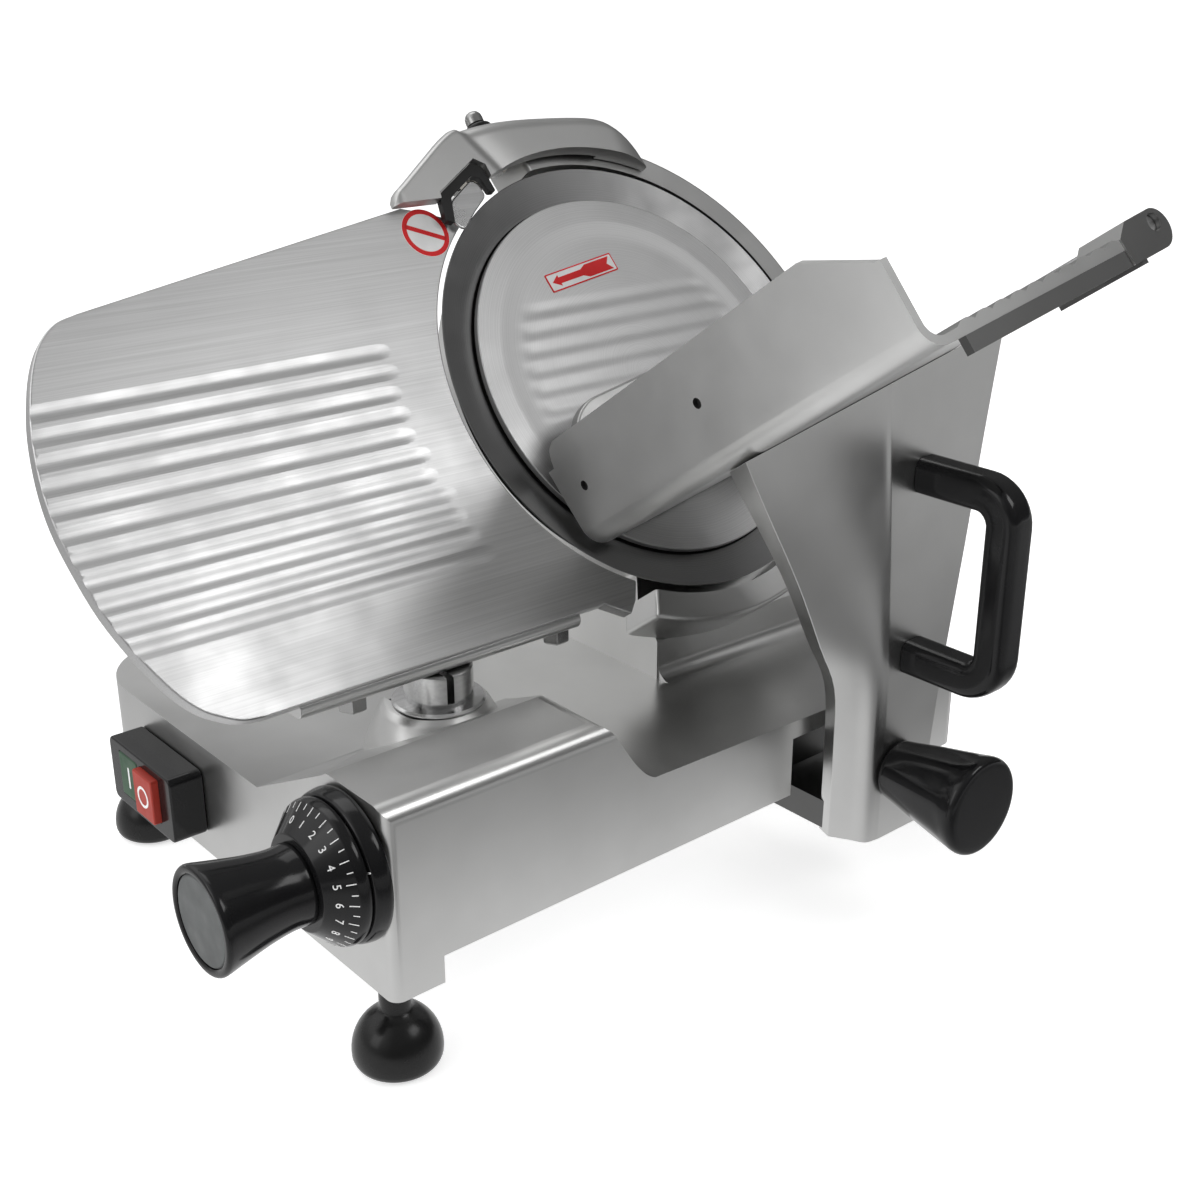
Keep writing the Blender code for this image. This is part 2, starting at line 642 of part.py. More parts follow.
def dial_knob():
    profile = [(7 + GAP, 27.3), (18.5, 27.3), (18.2, 36), (19.8, 48), (22.8, 62), (24.4, 69), (24.3, 71),
               (23.3, 72.2), (20.6, 72.2), (20.6, 69.2), (7 + GAP, 69.2)]
    return pivot(shade(lathe("dial_knob", profile, dial_frame(), "black", 40), 30),
                 (BASE_X0, DIAL_Y, DIAL_Z))


def dial_cap():
    profile = [(0, 69.5), (20.2, 69.5), (20.2, 71.3), (0, 71.7)]
    return pivot(shade(lathe("dial_cap", profile, dial_frame(), "grey", 40)), (BASE_X0, DIAL_Y, DIAL_Z))


def dial_shaft():
    profile = [(0, -34), (6, -34), (6, -18.5), (6, -9), (7, -9), (7, 69), (0, 69)]
    return pivot(shade(lathe("dial_shaft", profile, dial_frame(), "steel", 24)), (BASE_X0, DIAL_Y, DIAL_Z))


def snail_cam():
    """Spiral disc whose radius grows by the gauge travel over its working turn."""
    lobe = []
    for k in range(25):
        a = DIAL_TURN * k / 24
        r = CAM_R + GAUGE_TRAVEL * k / 24
        lobe.append((r * math.sin(a), r * math.cos(a)))
    at = dial_frame()
    body = prism("snail_cam", lobe, -26, -19, at, "steel")
    join(body, cylinder("hub", CAM_R - 0.4, -26.5, -18.5, at, None, 24))
    cut(body, cylinder("eye", 6 + GAP, -40, 0, at, None, 24))
    return pivot(shade(body, 30), (BASE_X0, DIAL_Y, DIAL_Z))


# ---- switch --------------------------------------------------------------------------------
def switch_parts():
    out = BASE_X0 - 18.5
    outline = rounded_rect(166, 55, 234, 91, (4, 4, 4, 4), 4)
    box = prism("switch_box", outline, out, BASE_X0 - GAP, END, "black")
    soften(box, 1.2, 2, 50)
    for y0, y1 in ((202, 223), (179, 200)):
        cut(box, prism("well", rounded_rect(y0, 61.5, y1, 86.5, (1, 1, 1, 1), 2), out - 5, out + 10, END))
    shade(box)
    for name, y0, y1, proud, colour in (("start_button", 202, 223, 0.4, "green"),
                                        ("stop_button", 179, 200, 6.5, "red")):
        cap = prism(name, rounded_rect(y0 + GAP, 61.5 + GAP, y1 - GAP, 86.5 - GAP, (1, 1, 1, 1), 3),
                    out - proud, out + 5, END, colour)
        shade(pivot(soften(cap, 0.8, 2, 50), (out - proud, (y0 + y1) / 2, 74)))


def cord_gland():
    at = frame(Vector((-150, BASE_Y1, 80)), Z, X)
    profile = [(4, GAP), (11, GAP), (11, 6), (8.5, 8), (7, 20), (4, 20)]
    return shade(lathe("cord_gland", profile, at, "black", 24))


# ---- carriage ---------------------------------------------------------------------------------
def carriage_section(z, left, left_y, corner, right, back):
    return [(right, CARRIAGE_FACE_Y, z), (right, back, z), (left + 3, back, z), (left, left_y, z),
            (corner, CARRIAGE_FACE_Y + 2, z), (corner + 8, CARRIAGE_FACE_Y, z)]


def carriage_solid(name, inset, finish=None):
    low = 35 + inset
    back = -8 if inset == 0 else -4
    left_in = inset * 1.2
    rows = [(low, -11, -17, -1, 40), (90, -11, -17, -1, 46), (122, -14, -18, -1, 50),
            (150, -29, -20, -3, 54), (190, -50, -22, -6, 60), (250, -88, -27, -12, 68),
            (330, -136, -33, -20, 80)]
    rings = []
    for z, left, left_y, corner, right in rows:
        ring = carriage_section(z, left + left_in, left_y + inset * 0.4, corner + inset, right - inset, back)
        if inset:
            ring = [(x, max(y, CARRIAGE_FACE_Y + inset), zz) for x, y, zz in ring]
        rings.append(ring)
    return loft(name, rings, WORLD, finish)


def carriage_arm():
    body = carriage_solid("carriage_arm", 0, "cast")
    lid = prism("lid", [(-200, -GAP), (400, -GAP), (400, 300), (-200, 300)], -60, 400, TRAY)
    beside = [(TRAY_FLOOR - 1, -6), (400, -6), (400, 300), (TRAY_FLOOR - 1, 300)]
    relief = prism("relief", beside, -60, 400, TRAY)
    cut(body, lid, relief)
    soften(body, 2.5, 2, 25)
    pocket = carriage_solid("pocket", 6.4)
    keep = prism("keep", [(-200, -7.3), (400, -7.3), (400, 300), (-200, 300)], -60, 400, TRAY)
    keep_side = prism("keep_side", [(TRAY_FLOOR - 8, -13), (400, -13), (400, 300), (TRAY_FLOOR - 8, 300)],
                      -60, 400, TRAY)
    cut(pocket, keep, keep_side)
    floor = block("floor", (-100, -60, 0), (100, 20, 58))
    cut(pocket, floor)
    cut(body, pocket)
    hook = block("hook", (-9, -20, 37), (34, 46, 53))
    join(body, hook)
    cut(body, cylinder("stud_hole", 5 + GAP, 20, 40, frame(Vector((KNOB_X, 0, KNOB_Z)), X, Z), None, 24))
    for z in (233, 137):
        cut(body, cylinder("bolt_hole", 3.3, 20, 45, frame(Vector((HANDLE_X, 0, z)), X, Z), None, 20))
    return shade(body, 30)


def slide_block():
    body = block("slide_block", (-13, 46.5, 36), (38, 78, 59), "cast")
    cut(body, cylinder("rod_hole", ROD_R + GAP, -100, 100, frame(Vector((0, ROD_Y, ROD_Z)), Y, Z), None, 32))
    join(body, block("arm", (4, 77, 41), (22, 99.5, 57)))
    pin_at = turned(WORLD, Vector((13, 0, 50)), X, Z)
    return shade(cut(body, cylinder("pin_hole", 3 + GAP, -120, -89, pin_at, None, 24)))


def guide_roller():
    at = turned(WORLD, Vector((13, 0, 50)), X, Z)
    profile = [(0, -108.5), (9.3, -108.5), (9.3, -100), (3, -100), (3, -90), (0, -90)]
    return pivot(shade(lathe("guide_roller", profile, at, "black", 32)), (13, 104, 50))


def guide_rod():
    at = frame(Vector((0, ROD_Y, ROD_Z)), Y, Z)
    return shade(cylinder("guide_rod", ROD_R, BASE_X0 + SKIRT - 7.5, BASE_X1 - SKIRT + 7.5, at, "steel", 32))


def carriage_knob():
    at = frame(Vector((KNOB_X, CARRIAGE_FACE_Y - GAP, KNOB_Z)), X, Z)
    profile = [(0, 0), (13, 0), (15.5, 1.5), (17, 8), (21, 26), (24.6, 44), (26, 52), (25.4, 54.6), (22, 56),
               (0, 56)]
    knob = lathe("carriage_knob", profile, at, "black", 36)
    bore = cylinder("bore", 5 + GAP, -5, 18, at, None, 24)
    return pivot(shade(cut(knob, bore), 30), (KNOB_X, CARRIAGE_FACE_Y, KNOB_Z))


def knob_stud():
    at = frame(Vector((KNOB_X, 0, KNOB_Z)), X, Z)
    stud = shade(cylinder("knob_stud", 5, 29.5, 53.5, at, "steel", 24))
    return pivot(stud, (KNOB_X, CARRIAGE_FACE_Y, KNOB_Z))


def carriage_handle():
    """U grip standing off the casting; section is a rounded square."""
    front = CARRIAGE_FACE_Y - 5
    path = [(front, 233), (front - 30, 233), (front - 40, 230), (front - 45, 221), (front - 45, 149),
            (front - 40, 140), (front - 30, 137), (front, 137)]
    half = 9.0
    rings = []
    for k, (y, z) in enumerate(path):
        before = Vector(path[max(k - 1, 0)])
        after = Vector(path[min(k + 1, len(path) - 1)])
        along = (after - before).normalized()
        side = Vector((-along.y, along.x))
        ring = []
        for a in range(12):
            c = math.cos(math.radians(30 * a + 15))
            s = math.sin(math.radians(30 * a + 15))
            reach = half * (abs(c) ** 5 + abs(s) ** 5) ** -0.2
            ring.append((HANDLE_X + reach * c, y + side.x * reach * s, z + side.y * reach * s))
        rings.append(ring)
    return shade(loft("carriage_handle", rings, WORLD, "black"), 50)


def handle_spacer(name, z):
    at = frame(Vector((HANDLE_X, 0, z)), X, Z)
    profile = [(0, 29.5), (3, 29.5), (3, 36.3), (7.5, 36.3), (7.5, 40.7), (0, 40.7)]
    return shade(lathe(name, profile, at, "steel", 24))


# ---- tray and pusher ---------------------------------------------------------------------------
def tray_profile():
    """V trough seen along the tray axis: (across, up)."""
    bend = 12
    outer = [(TRAY_FLOOR, 0), (bend, 0)] + arc(bend, bend, bend, 262, 188, 7)
    outer += [(0, bend + 2), (0, WALL_HEIGHT)]
    inner = [(4, WALL_HEIGHT), (4, bend + 3)] + arc(bend, bend, bend - 4, 188, 262, 6)
    ridges = []
    pitch = 11.4
    for start in [20 + pitch * k for k in range(10)]:
        ridges += [(start, 4.2), (start + pitch * 0.25, 6.2), (start + pitch * 0.6, 6.2),
                   (start + pitch * 0.88, 4.2)]
    return outer + inner + ridges + [(TRAY_FLOOR, 4.2)]


def tray():
    body = prism("tray", tray_profile(), -40, TRAY_LENGTH, TRAY, "cast")
    near = prism("near", [(-400, -400), (400, -400), (400, 400), (-400, 400)], -400, 3, BLADE)
    cut(body, near)
    far_corner = [(TRAY_LENGTH - 39, WALL_HEIGHT + 8), (TRAY_LENGTH - 39, WALL_HEIGHT + 0.2),
                  (TRAY_LENGTH - 2.5, 40), (TRAY_LENGTH + 8, 40), (TRAY_LENGTH + 8, WALL_HEIGHT + 8)]
    side = turned(TRAY, Vector((0, 0, 0)), Vector((0, 0, 1)), Vector((0, 1, 0)))
    cut(body, prism("far_corner", far_corner, -10, 10, side))
    near_corner = [(-10, WALL_HEIGHT + 8), (-10, WALL_HEIGHT - 12), (4, WALL_HEIGHT - 12),
                   (7, WALL_HEIGHT - 4), (14, WALL_HEIGHT), (14, WALL_HEIGHT + 8)]
    cut(body, prism("near_corner", near_corner, -10, 10, side))
    lip_out = prism("lip", [(22, -7.5), (TRAY_FLOOR - 1, -7.5), (TRAY_FLOOR - 1, 1), (22, 1)],
                    TRAY_LENGTH - 4.5, TRAY_LENGTH - 0.4, TRAY)
    rail = [(TRAY_FLOOR - 4.5, -9.3), (TRAY_FLOOR - 0.4, -9.3),
            (TRAY_FLOOR - 0.4, 1.5), (TRAY_FLOOR - 4.5, 1.5)]
    lip_side = prism("lip_side", rail, TRAY_LENGTH - 50, TRAY_LENGTH - 2, TRAY)
    join(body, lip_out, lip_side)
    for w0, w1 in ((TRAY_LENGTH - 25, TRAY_LENGTH + 0.6), (7, 23)):
        lug = [(TRAY_FLOOR - 13, -7.5)] + arc(PUSHER_ROD_W, PUSHER_ROD_M - 3, BOSS_R, -90, 90, 9)
        lug += [(TRAY_FLOOR - 6, PUSHER_ROD_M + 6), (TRAY_FLOOR - 14, 5)]
        join(body, prism("lug", lug, w0, w1, TRAY))
    at = turned(TRAY, Vector((PUSHER_ROD_W, PUSHER_ROD_M, 0)), Vector((1, 0, 0)), Vector((0, 1, 0)))
    cut(body, cylinder("rod_hole", PUSHER_ROD_R + GAP, 0, 300, at, None, 24))
    for w, m in ((126, 33), (20, 30)):
        hole_at = turned(TRAY, Vector((0, m, w)), Vector((0, 1, 0)), Vector((0, 0, 1)))
        cut(body, cylinder("wall_hole", 2.6, -5, 10, hole_at, None, 20))
    return shade(body, 30)


def pusher_rod():
    at = turned(TRAY, Vector((PUSHER_ROD_W, PUSHER_ROD_M, 0)), Vector((1, 0, 0)), Vector((0, 1, 0)))
    return shade(cylinder("pusher_rod", PUSHER_ROD_R, 6, TRAY_LENGTH - 2, at, "steel", 24))


def pusher_sleeve():
    at = turned(TRAY, Vector((PUSHER_ROD_W, PUSHER_ROD_M, 0)), Vector((1, 0, 0)), Vector((0, 1, 0)))
    body = tube("pusher_sleeve", PUSHER_ROD_R + GAP, 6.5, 41, 81, at, "steel", 24)
    return pivot(shade(body), spot(TRAY, PUSHER_ROD_W, PUSHER_ROD_M, 61))


def pusher_arm():
    """Arm turning on the sleeve and reaching over the trough to the plate."""
    at = turned(TRAY, Vector((PUSHER_ROD_W, PUSHER_ROD_M, 0)), Vector((1, 0, 0)), Vector((0, 1, 0)))
    ring = tube("pusher_arm", 6.5 + GAP, 9.5, 48, 74, at, "cast", 32)
    reach = [(PUSHER_ROD_W - 5, PUSHER_ROD_M + 7.5), (PUSHER_ROD_W + 4, PUSHER_ROD_M + 8),
             (PUSHER_ROD_W - 2, 34),
             (PUSHER_ROD_W - 20, 46), (84, 46), (84, 34), (PUSHER_ROD_W - 26, 33), (PUSHER_ROD_W - 12, 24)]
    join(ring, prism("reach", reach, 54, 68, TRAY))
    stem = prism("stem", [(84, 34), (98, 34), (98, 46), (84, 46)], 22 + GAP, 56, TRAY)
    join(ring, stem)
    return pivot(shade(ring, 30), spot(TRAY, PUSHER_ROD_W, PUSHER_ROD_M, 61))


def pusher_plate():
    outline = rounded_rect(8, 10, 140, 68, (6, 6, 18, 24), 6)
    plate = prism("pusher_plate", outline, 14, 22, TRAY, "cast")
    soften(plate, 1.5, 2, 50)
    for row in range(4):
        m = 18 + 11 * row
        cut(plate, prism("groove", [(14, m), (134, m), (134, m + 5), (14, m + 5)], 10, 16, TRAY))
    return pivot(shade(plate, 30), spot(TRAY, PUSHER_ROD_W, PUSHER_ROD_M, 61))


def pusher_grip():
    at = turned(TRAY, Vector((104, 40, 68 + GAP)), Vector((1, 0, 0)), Vector((0, 1, 0)))
    profile = [(0, 0), (6, 0), (8, 3), (10, 16), (13, 34), (13, 40), (10, 45), (0, 47)]
    grip = shade(lathe("pusher_grip", profile, at, "black", 24))
    return pivot(grip, spot(TRAY, PUSHER_ROD_W, PUSHER_ROD_M, 61))


# ---- assembly --------------------------------------------------------------------------------
def sharpener_parts():
    sharpener_cover()
    at = grind_frame()
    stone = shade(tube("grind_stone", 3.5 + GAP, 7, 131, 138, at, "stone", 24))
    pivot(stone, spot(BLADE, GRIND_X, 134, GRIND_N))
    profile = [(0, 129), (3.5, 129), (3.5, 159.8), (5, 160), (5, 163.5), (3.8, 166.5), (0, 167.5)]
    pivot(shade(lathe("grind_pin", profile, at, "chrome", 24)), spot(BLADE, GRIND_X, 134, GRIND_N))
    collar = lathe("pin_collar", [(5.4, 155.2), (8, 155.2), (7.7, 157.5), (6.4, 158.6), (5.4, 158.6)],
                   at, "rubber", 24)
    shade(collar)
    at = hone_frame()
    stone = shade(tube("hone_stone", 3.5 + GAP, 7, -24, -17, at, "stone", 24))
    pivot(stone, spot(BLADE, HONE_X, HONE_S, -18))
    profile = [(0, -51), (3.8, -50), (5, -47), (5, -43), (3.5, -42), (3.5, -16), (0, -16)]
    pivot(shade(lathe("hone_pin", profile, at, "chrome", 24)), spot(BLADE, HONE_X, HONE_S, -18))


def stand_on_origin():
    """Move every piece so that the origin is under the middle of the bounding box."""
    points = [obj.location + v.co for obj in bpy.data.objects for v in obj.data.vertices]
    low = [min(p[i] for p in points) for i in range(3)]
    high = [max(p[i] for p in points) for i in range(3)]
    shift = Vector(((low[0] + high[0]) / 2, (low[1] + high[1]) / 2, low[2]))
    for obj in bpy.data.objects:
        obj.location -= shift


def build():
    clear_scene()
    base_casting()
    bottom_plate()
    for name, x, y in (("foot_front_left", BASE_X0 + 11, 17), ("foot_front_right", BASE_X1 - 13, 17),
                       ("foot_rear_left", BASE_X0 + 20, 280), ("foot_rear_right", BASE_X1 - 20, 280)):
        foot(name, x, y)
    blade_housing()
    blade()
    blade_cover()
    blade_shaft()
    bearing("bearing_front", -26.9, -20.4)
    bearing("bearing_rear", -33.7, -27.2)
    pulley("blade_pulley", 0, 0, BLADE_PULLEY_R, 10 + GAP)
    pulley("motor_pulley", MOTOR_X, MOTOR_S, MOTOR_PULLEY_R, 5 + GAP)
    drive_belt()
    motor()
    motor_plate()
    motor_shaft()
    cover_tie_rod()
    cover_knob()
    sharpener_parts()
    gauge_plate()
    gauge_bar()
    gauge_bolt("gauge_bolt_left", -232)
    gauge_bolt("gauge_bolt_right", -111)
    gauge_column()
    slider_block()
    slider_rod()
    follower()
    index_ring()
    dial_skirt()
    dial_knob()
    dial_cap()
    dial_shaft()
    snail_cam()
    switch_parts()
    cord_gland()
    carriage_arm()
    slide_block()
    guide_roller()
    guide_rod()
    carriage_knob()
    knob_stud()
    carriage_handle()
    handle_spacer("handle_spacer_top", 233)
    handle_spacer("handle_spacer_low", 137)
    tray()
    pusher_rod()
    pusher_sleeve()
    pusher_arm()
    pusher_plate()
    pusher_grip()
    stand_on_origin()


build()
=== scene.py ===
"""Looks of the gravity-feed deli slicer, built round its packed working parts.

Shapes are drawn in millimetres from a datum on the ground under the blade centre, level
with the front wall of the base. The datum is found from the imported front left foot.
"""

import json
import math

import bmesh
import bpy
from mathutils import Matrix, Vector


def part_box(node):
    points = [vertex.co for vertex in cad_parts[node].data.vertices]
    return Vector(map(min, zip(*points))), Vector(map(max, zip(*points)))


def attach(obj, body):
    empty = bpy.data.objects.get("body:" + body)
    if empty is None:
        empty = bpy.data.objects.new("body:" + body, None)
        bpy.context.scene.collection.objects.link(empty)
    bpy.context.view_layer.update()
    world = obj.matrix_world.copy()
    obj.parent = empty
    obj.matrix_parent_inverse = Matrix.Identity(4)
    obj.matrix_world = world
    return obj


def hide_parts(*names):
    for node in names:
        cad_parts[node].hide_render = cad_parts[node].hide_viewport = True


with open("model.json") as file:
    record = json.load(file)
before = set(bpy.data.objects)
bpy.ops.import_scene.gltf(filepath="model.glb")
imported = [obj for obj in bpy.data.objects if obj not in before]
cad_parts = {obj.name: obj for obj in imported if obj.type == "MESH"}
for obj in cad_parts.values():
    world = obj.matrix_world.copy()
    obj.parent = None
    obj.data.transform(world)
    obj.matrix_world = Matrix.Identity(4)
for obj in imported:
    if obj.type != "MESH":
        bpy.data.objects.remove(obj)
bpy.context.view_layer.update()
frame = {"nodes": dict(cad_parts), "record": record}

MM = 0.001
GAP = 0.3
FAR = 400.0                                   # cutters reach this far to pass everything

# ---- datum and driving sizes, millimetres ----
FOOT_X, FOOT_Y = -261.0, 17.0
foot_low, foot_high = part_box("foot_front_left")
foot_middle = (foot_low + foot_high) / 2
DATUM = Vector((foot_middle.x - FOOT_X * MM, foot_middle.y - FOOT_Y * MM, 0))

BLADE_R = 125.0
COVER_R = 105.0
GUARD_R = 144.0
GUARD_BORE = 128.5
BLADE_LEAN = math.radians(36.75)
BLADE_CENTRE = Vector((0.0, 140.0, 254.5))

BASE_X0, BASE_X1, BASE_Y1 = -272.0, 115.0, 300.0
SKIRT, SKIRT_Z, SILL_Z = 27.0, 43.0, 57.0
DECK_LEFT_Z, DECK_RIGHT_Z = 105.0, 97.0
LEDGE_Z, LEDGE_Y, RAMP_Y = 139.0, 45.0, 113.0
WALL, FLOOR_Z = 5.0, 60.0
RECESS_X, RECESS_Y = -23.0, 22.0              # left end and depth of the front recess for the arm
NECK_X0, NECK_X1, NECK_Y, NECK_N = -42.0, 95.0, 84.0, -34.3

DIAL_Y, DIAL_Z = 29.0, 102.5
COLUMN_X, COLUMN_Y, COLUMN_R = -183.0, 87.0, 17.0
GAUGE_TRAVEL = 15.0

CARRIAGE_FACE_Y = -36.0
KNOB_X, KNOB_Z = 17.0, 74.0
HANDLE_X, HANDLE_REACH, HANDLE_HALF = 23.0, 45.0, 9.0
HANDLE_TOP, HANDLE_LOW = 233.0, 137.0
ROD_Y, ROD_Z, ROD_R = 62.0, 48.0, 7.0

TRAY_LENGTH, WALL_HEIGHT, TRAY_FLOOR = 258.0, 57.5, 148.0
PUSHER_ROD_W, PUSHER_ROD_M, PUSHER_ROD_R, BOSS_R = 160.5, 5.0, 4.0, 9.4

FOOT_R = 21.0
COVER_LIP_R = 133.0
GRIND_X, GRIND_N, HONE_X, HONE_S = -38.0, -6.5, -45.0, 134.0

# ---- frames ----
X = Vector((1, 0, 0))
Y = Vector((0, 1, 0))
Z = Vector((0, 0, 1))
SLOPE = Vector((0, math.sin(BLADE_LEAN), math.cos(BLADE_LEAN)))
NORMAL = X.cross(SLOPE)


def axes(origin, u, v):
    """Matrix taking (u, v, w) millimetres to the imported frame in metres, w = u x v."""
    turn = Matrix((u, v, u.cross(v))).transposed().to_4x4()
    return Matrix.Translation(DATUM) @ Matrix.Scale(MM, 4) @ Matrix.Translation(origin) @ turn


def inside(matrix, origin, axis_u, axis_v):
    """A frame inside another frame."""
    turn = Matrix((axis_u, axis_v, axis_u.cross(axis_v))).transposed().to_4x4()
    return matrix @ Matrix.Translation(origin) @ turn


WORLD = axes(Vector(), X, Y)
SIDE = axes(Vector(), X, Z)                   # w = -Y
END = axes(Vector(), Y, Z)                    # w = +X
BLADE = axes(BLADE_CENTRE, X, SLOPE)          # w = blade axis, toward the carriage

TRAY_AXIS = Vector((-0.063, -0.8306, 0.5532)).normalized()
TRAY_ROLL = math.radians(9.3)
TRAY_RAW = X * math.cos(TRAY_ROLL) + SLOPE * math.sin(TRAY_ROLL)
TRAY_ACROSS = (TRAY_RAW - TRAY_AXIS * TRAY_RAW.dot(TRAY_AXIS)).normalized()
TRAY_UP = TRAY_AXIS.cross(TRAY_ACROSS)
TRAY_ORIGIN = BLADE_CENTRE + X * -86.0 + SLOPE * -88.0 + NORMAL * 3.0
TRAY = axes(TRAY_ORIGIN, TRAY_ACROSS, TRAY_UP)
PUSHER = inside(TRAY, Vector((PUSHER_ROD_W, PUSHER_ROD_M, 0)), X, Y)
DIAL = axes(Vector((BASE_X0, DIAL_Y, DIAL_Z)), Z, Y)          # w = out of the end face
GRIND = inside(BLADE, Vector((GRIND_X, 0, GRIND_N)), Z, X)


# ---- mesh helpers ----
def new_object(name, data):
    obj = bpy.data.objects.new(name, data)
    bpy.context.scene.collection.objects.link(obj)
    return obj


def mesh_object(name, bm, matrix):
    bmesh.ops.transform(bm, matrix=matrix, verts=bm.verts)
    bmesh.ops.remove_doubles(bm, verts=bm.verts, dist=1e-6)
    bmesh.ops.recalc_face_normals(bm, faces=bm.faces)
    mesh = bpy.data.meshes.new(name)
    bm.to_mesh(mesh)
    bm.free()
    return new_object(name, mesh)


def loft(name, rings, matrix):
    """Closed rings of (u, v, w) points with equal counts, capped at both ends."""
    bm = bmesh.new()
    made = [[bm.verts.new(p) for p in ring] for ring in rings]
    count = len(rings[0])
    for lower, upper in zip(made, made[1:]):
        for i in range(count):
            j = (i + 1) % count
            bm.faces.new((lower[i], lower[j], upper[j], upper[i]))
    bm.faces.new(made[0])
    bm.faces.new(made[-1])
    return mesh_object(name, bm, matrix)


def prism(name, outline, w0, w1, matrix):
    """Outline in (u, v) extruded from w0 to w1."""
    return loft(name, [[(u, v, w) for u, v in outline] for w in (w0, w1)], matrix)


def lathe(name, profile, matrix, steps=96, wobble=None):
    """Closed profile of (radius, w) turned about w; wobble(angle, radius, w) scales the radius."""
    bm = bmesh.new()
    rings = []
    for r, w in profile:
        if r < 1e-6:
            rings.append([bm.verts.new((0, 0, w))])
            continue
        ring = []
        for k in range(steps):
            a = 2 * math.pi * k / steps
            reach = r * (wobble(a, r, w) if wobble else 1)
            ring.append(bm.verts.new((reach * math.cos(a), reach * math.sin(a), w)))
        rings.append(ring)
    for a, b in zip(rings, rings[1:] + rings[:1]):
        if len(a) == 1 and len(b) == 1:
            continue
        for k in range(steps):
            m = (k + 1) % steps
            if len(a) == 1:
                bm.faces.new((a[0], b[k], b[m]))
            elif len(b) == 1:
                bm.faces.new((a[k], a[m], b[0]))
            else:
                bm.faces.new((a[k], a[m], b[m], b[k]))
    return mesh_object(name, bm, matrix)


def block(name, low, high, matrix=WORLD):
    outline = [(low[0], low[1]), (high[0], low[1]), (high[0], high[1]), (low[0], high[1])]
    return prism(name, outline, low[2], high[2], matrix)


def cylinder(name, r, w0, w1, matrix, steps=64):
    return lathe(name, [(0, w0), (r, w0), (r, w1), (0, w1)], matrix, steps)


def evaluated_mesh(obj):
    graph = bpy.context.evaluated_depsgraph_get()
    return bpy.data.meshes.new_from_object(obj.evaluated_get(graph))


def bake(obj):
    mesh = evaluated_mesh(obj)
    old = obj.data
    obj.modifiers.clear()
    obj.data = mesh
    bpy.data.meshes.remove(old)


def combine(obj, tool, operation):
    mod = obj.modifiers.new("cut", "BOOLEAN")
    mod.operation = operation
    mod.solver = "MANIFOLD"
    mod.object = tool
    bake(obj)
    bpy.data.objects.remove(tool)
    return obj


def cut(obj, *tools):
    for tool in tools:
        combine(obj, tool, "DIFFERENCE")
    return obj


def join(obj, *tools):
    for tool in tools:
        combine(obj, tool, "UNION")
    return obj


def soften(obj, width, segments=4, angle=35):
    mod = obj.modifiers.new("soften", "BEVEL")
    mod.width = width * MM
    mod.segments = segments
    mod.limit_method = "ANGLE"
    mod.angle_limit = math.radians(angle)
    bake(obj)
    return obj


def merge(name, objects):
    """One object out of several closed bodies that ride together."""
    bm = bmesh.new()
    for obj in objects:
        obj.data.transform(obj.matrix_world)
        bm.from_mesh(obj.data)
        bpy.data.objects.remove(obj)
    mesh = bpy.data.meshes.new(name)
    bm.to_mesh(mesh)
    bm.free()
    return new_object(name, mesh)


def arc(cx, cy, r, start, end, count):
    step = (end - start) / (count - 1)
    angles = [math.radians(start + step * k) for k in range(count)]
    return [(cx + r * math.cos(a), cy + r * math.sin(a)) for a in angles]


def rounded_rect(x0, y0, x1, y1, radii, steps=12):
    """One corner radius, or four in the order (x0,y0), (x1,y0), (x1,y1), (x0,y1)."""
    r0, r1, r2, r3 = radii if isinstance(radii, tuple) else (radii,) * 4
    points = arc(x0 + r0, y0 + r0, r0, 180, 270, steps)
    points += arc(x1 - r1, y0 + r1, r1, 270, 360, steps)
    points += arc(x1 - r2, y1 - r2, r2, 0, 90, steps)
    points += arc(x0 + r3, y1 - r3, r3, 90, 180, steps)
    return points


def curve(points, per=6):
    """Catmull-Rom curve through the points, ends included."""
    ends = [tuple(2 * a - b for a, b in zip(points[0], points[1]))]
    ends += list(points) + [tuple(2 * a - b for a, b in zip(points[-1], points[-2]))]
    out = []
    for p0, p1, p2, p3 in zip(ends, ends[1:], ends[2:], ends[3:]):
        for k in range(per):
            t = k / per
            out.append(tuple(0.5 * (2 * b + (c - a) * t + (2 * a - 5 * b + 4 * c - d) * t * t
                                    + (3 * b - a - 3 * c + d) * t ** 3)
                             for a, b, c, d in zip(p0, p1, p2, p3)))
    out.append(tuple(points[-1]))
    return out


def ease(t):
    """Smooth step from 0 to 1."""
    t = min(1.0, max(0.0, t))
    return t * t * (3 - 2 * t)


def relief(name, stations, s_values, height, matrix):
    """Cutter above a sculpted surface height(x, s), closed far above it."""
    far = 12.0
    rings = []
    for x in stations:
        ring = [(x, s, height(x, s)) for s in s_values]
        rings.append(ring + [(x, s_values[-1], far), (x, s_values[0], far)])
    return loft(name, rings, matrix)


def steps_between(low, high, count):
    return [low + (high - low) * k / (count - 1) for k in range(count)]


def rounded(profile, radius, steps=5):
    """Polygon of (u, v) with each corner rounded by an arc-like curve."""
    out = []
    count = len(profile)
    for i in range(count):
        here = Vector(profile[i])
        before = Vector(profile[i - 1])
        after = Vector(profile[(i + 1) % count])
        reach = min(radius, (before - here).length * 0.45, (after - here).length * 0.45)
        start = here + (before - here).normalized() * reach
        end = here + (after - here).normalized() * reach
        for k in range(steps + 1):
            t = k / steps
            out.append(tuple(start * (1 - t) ** 2 + here * 2 * t * (1 - t) + end * t * t))
    return out


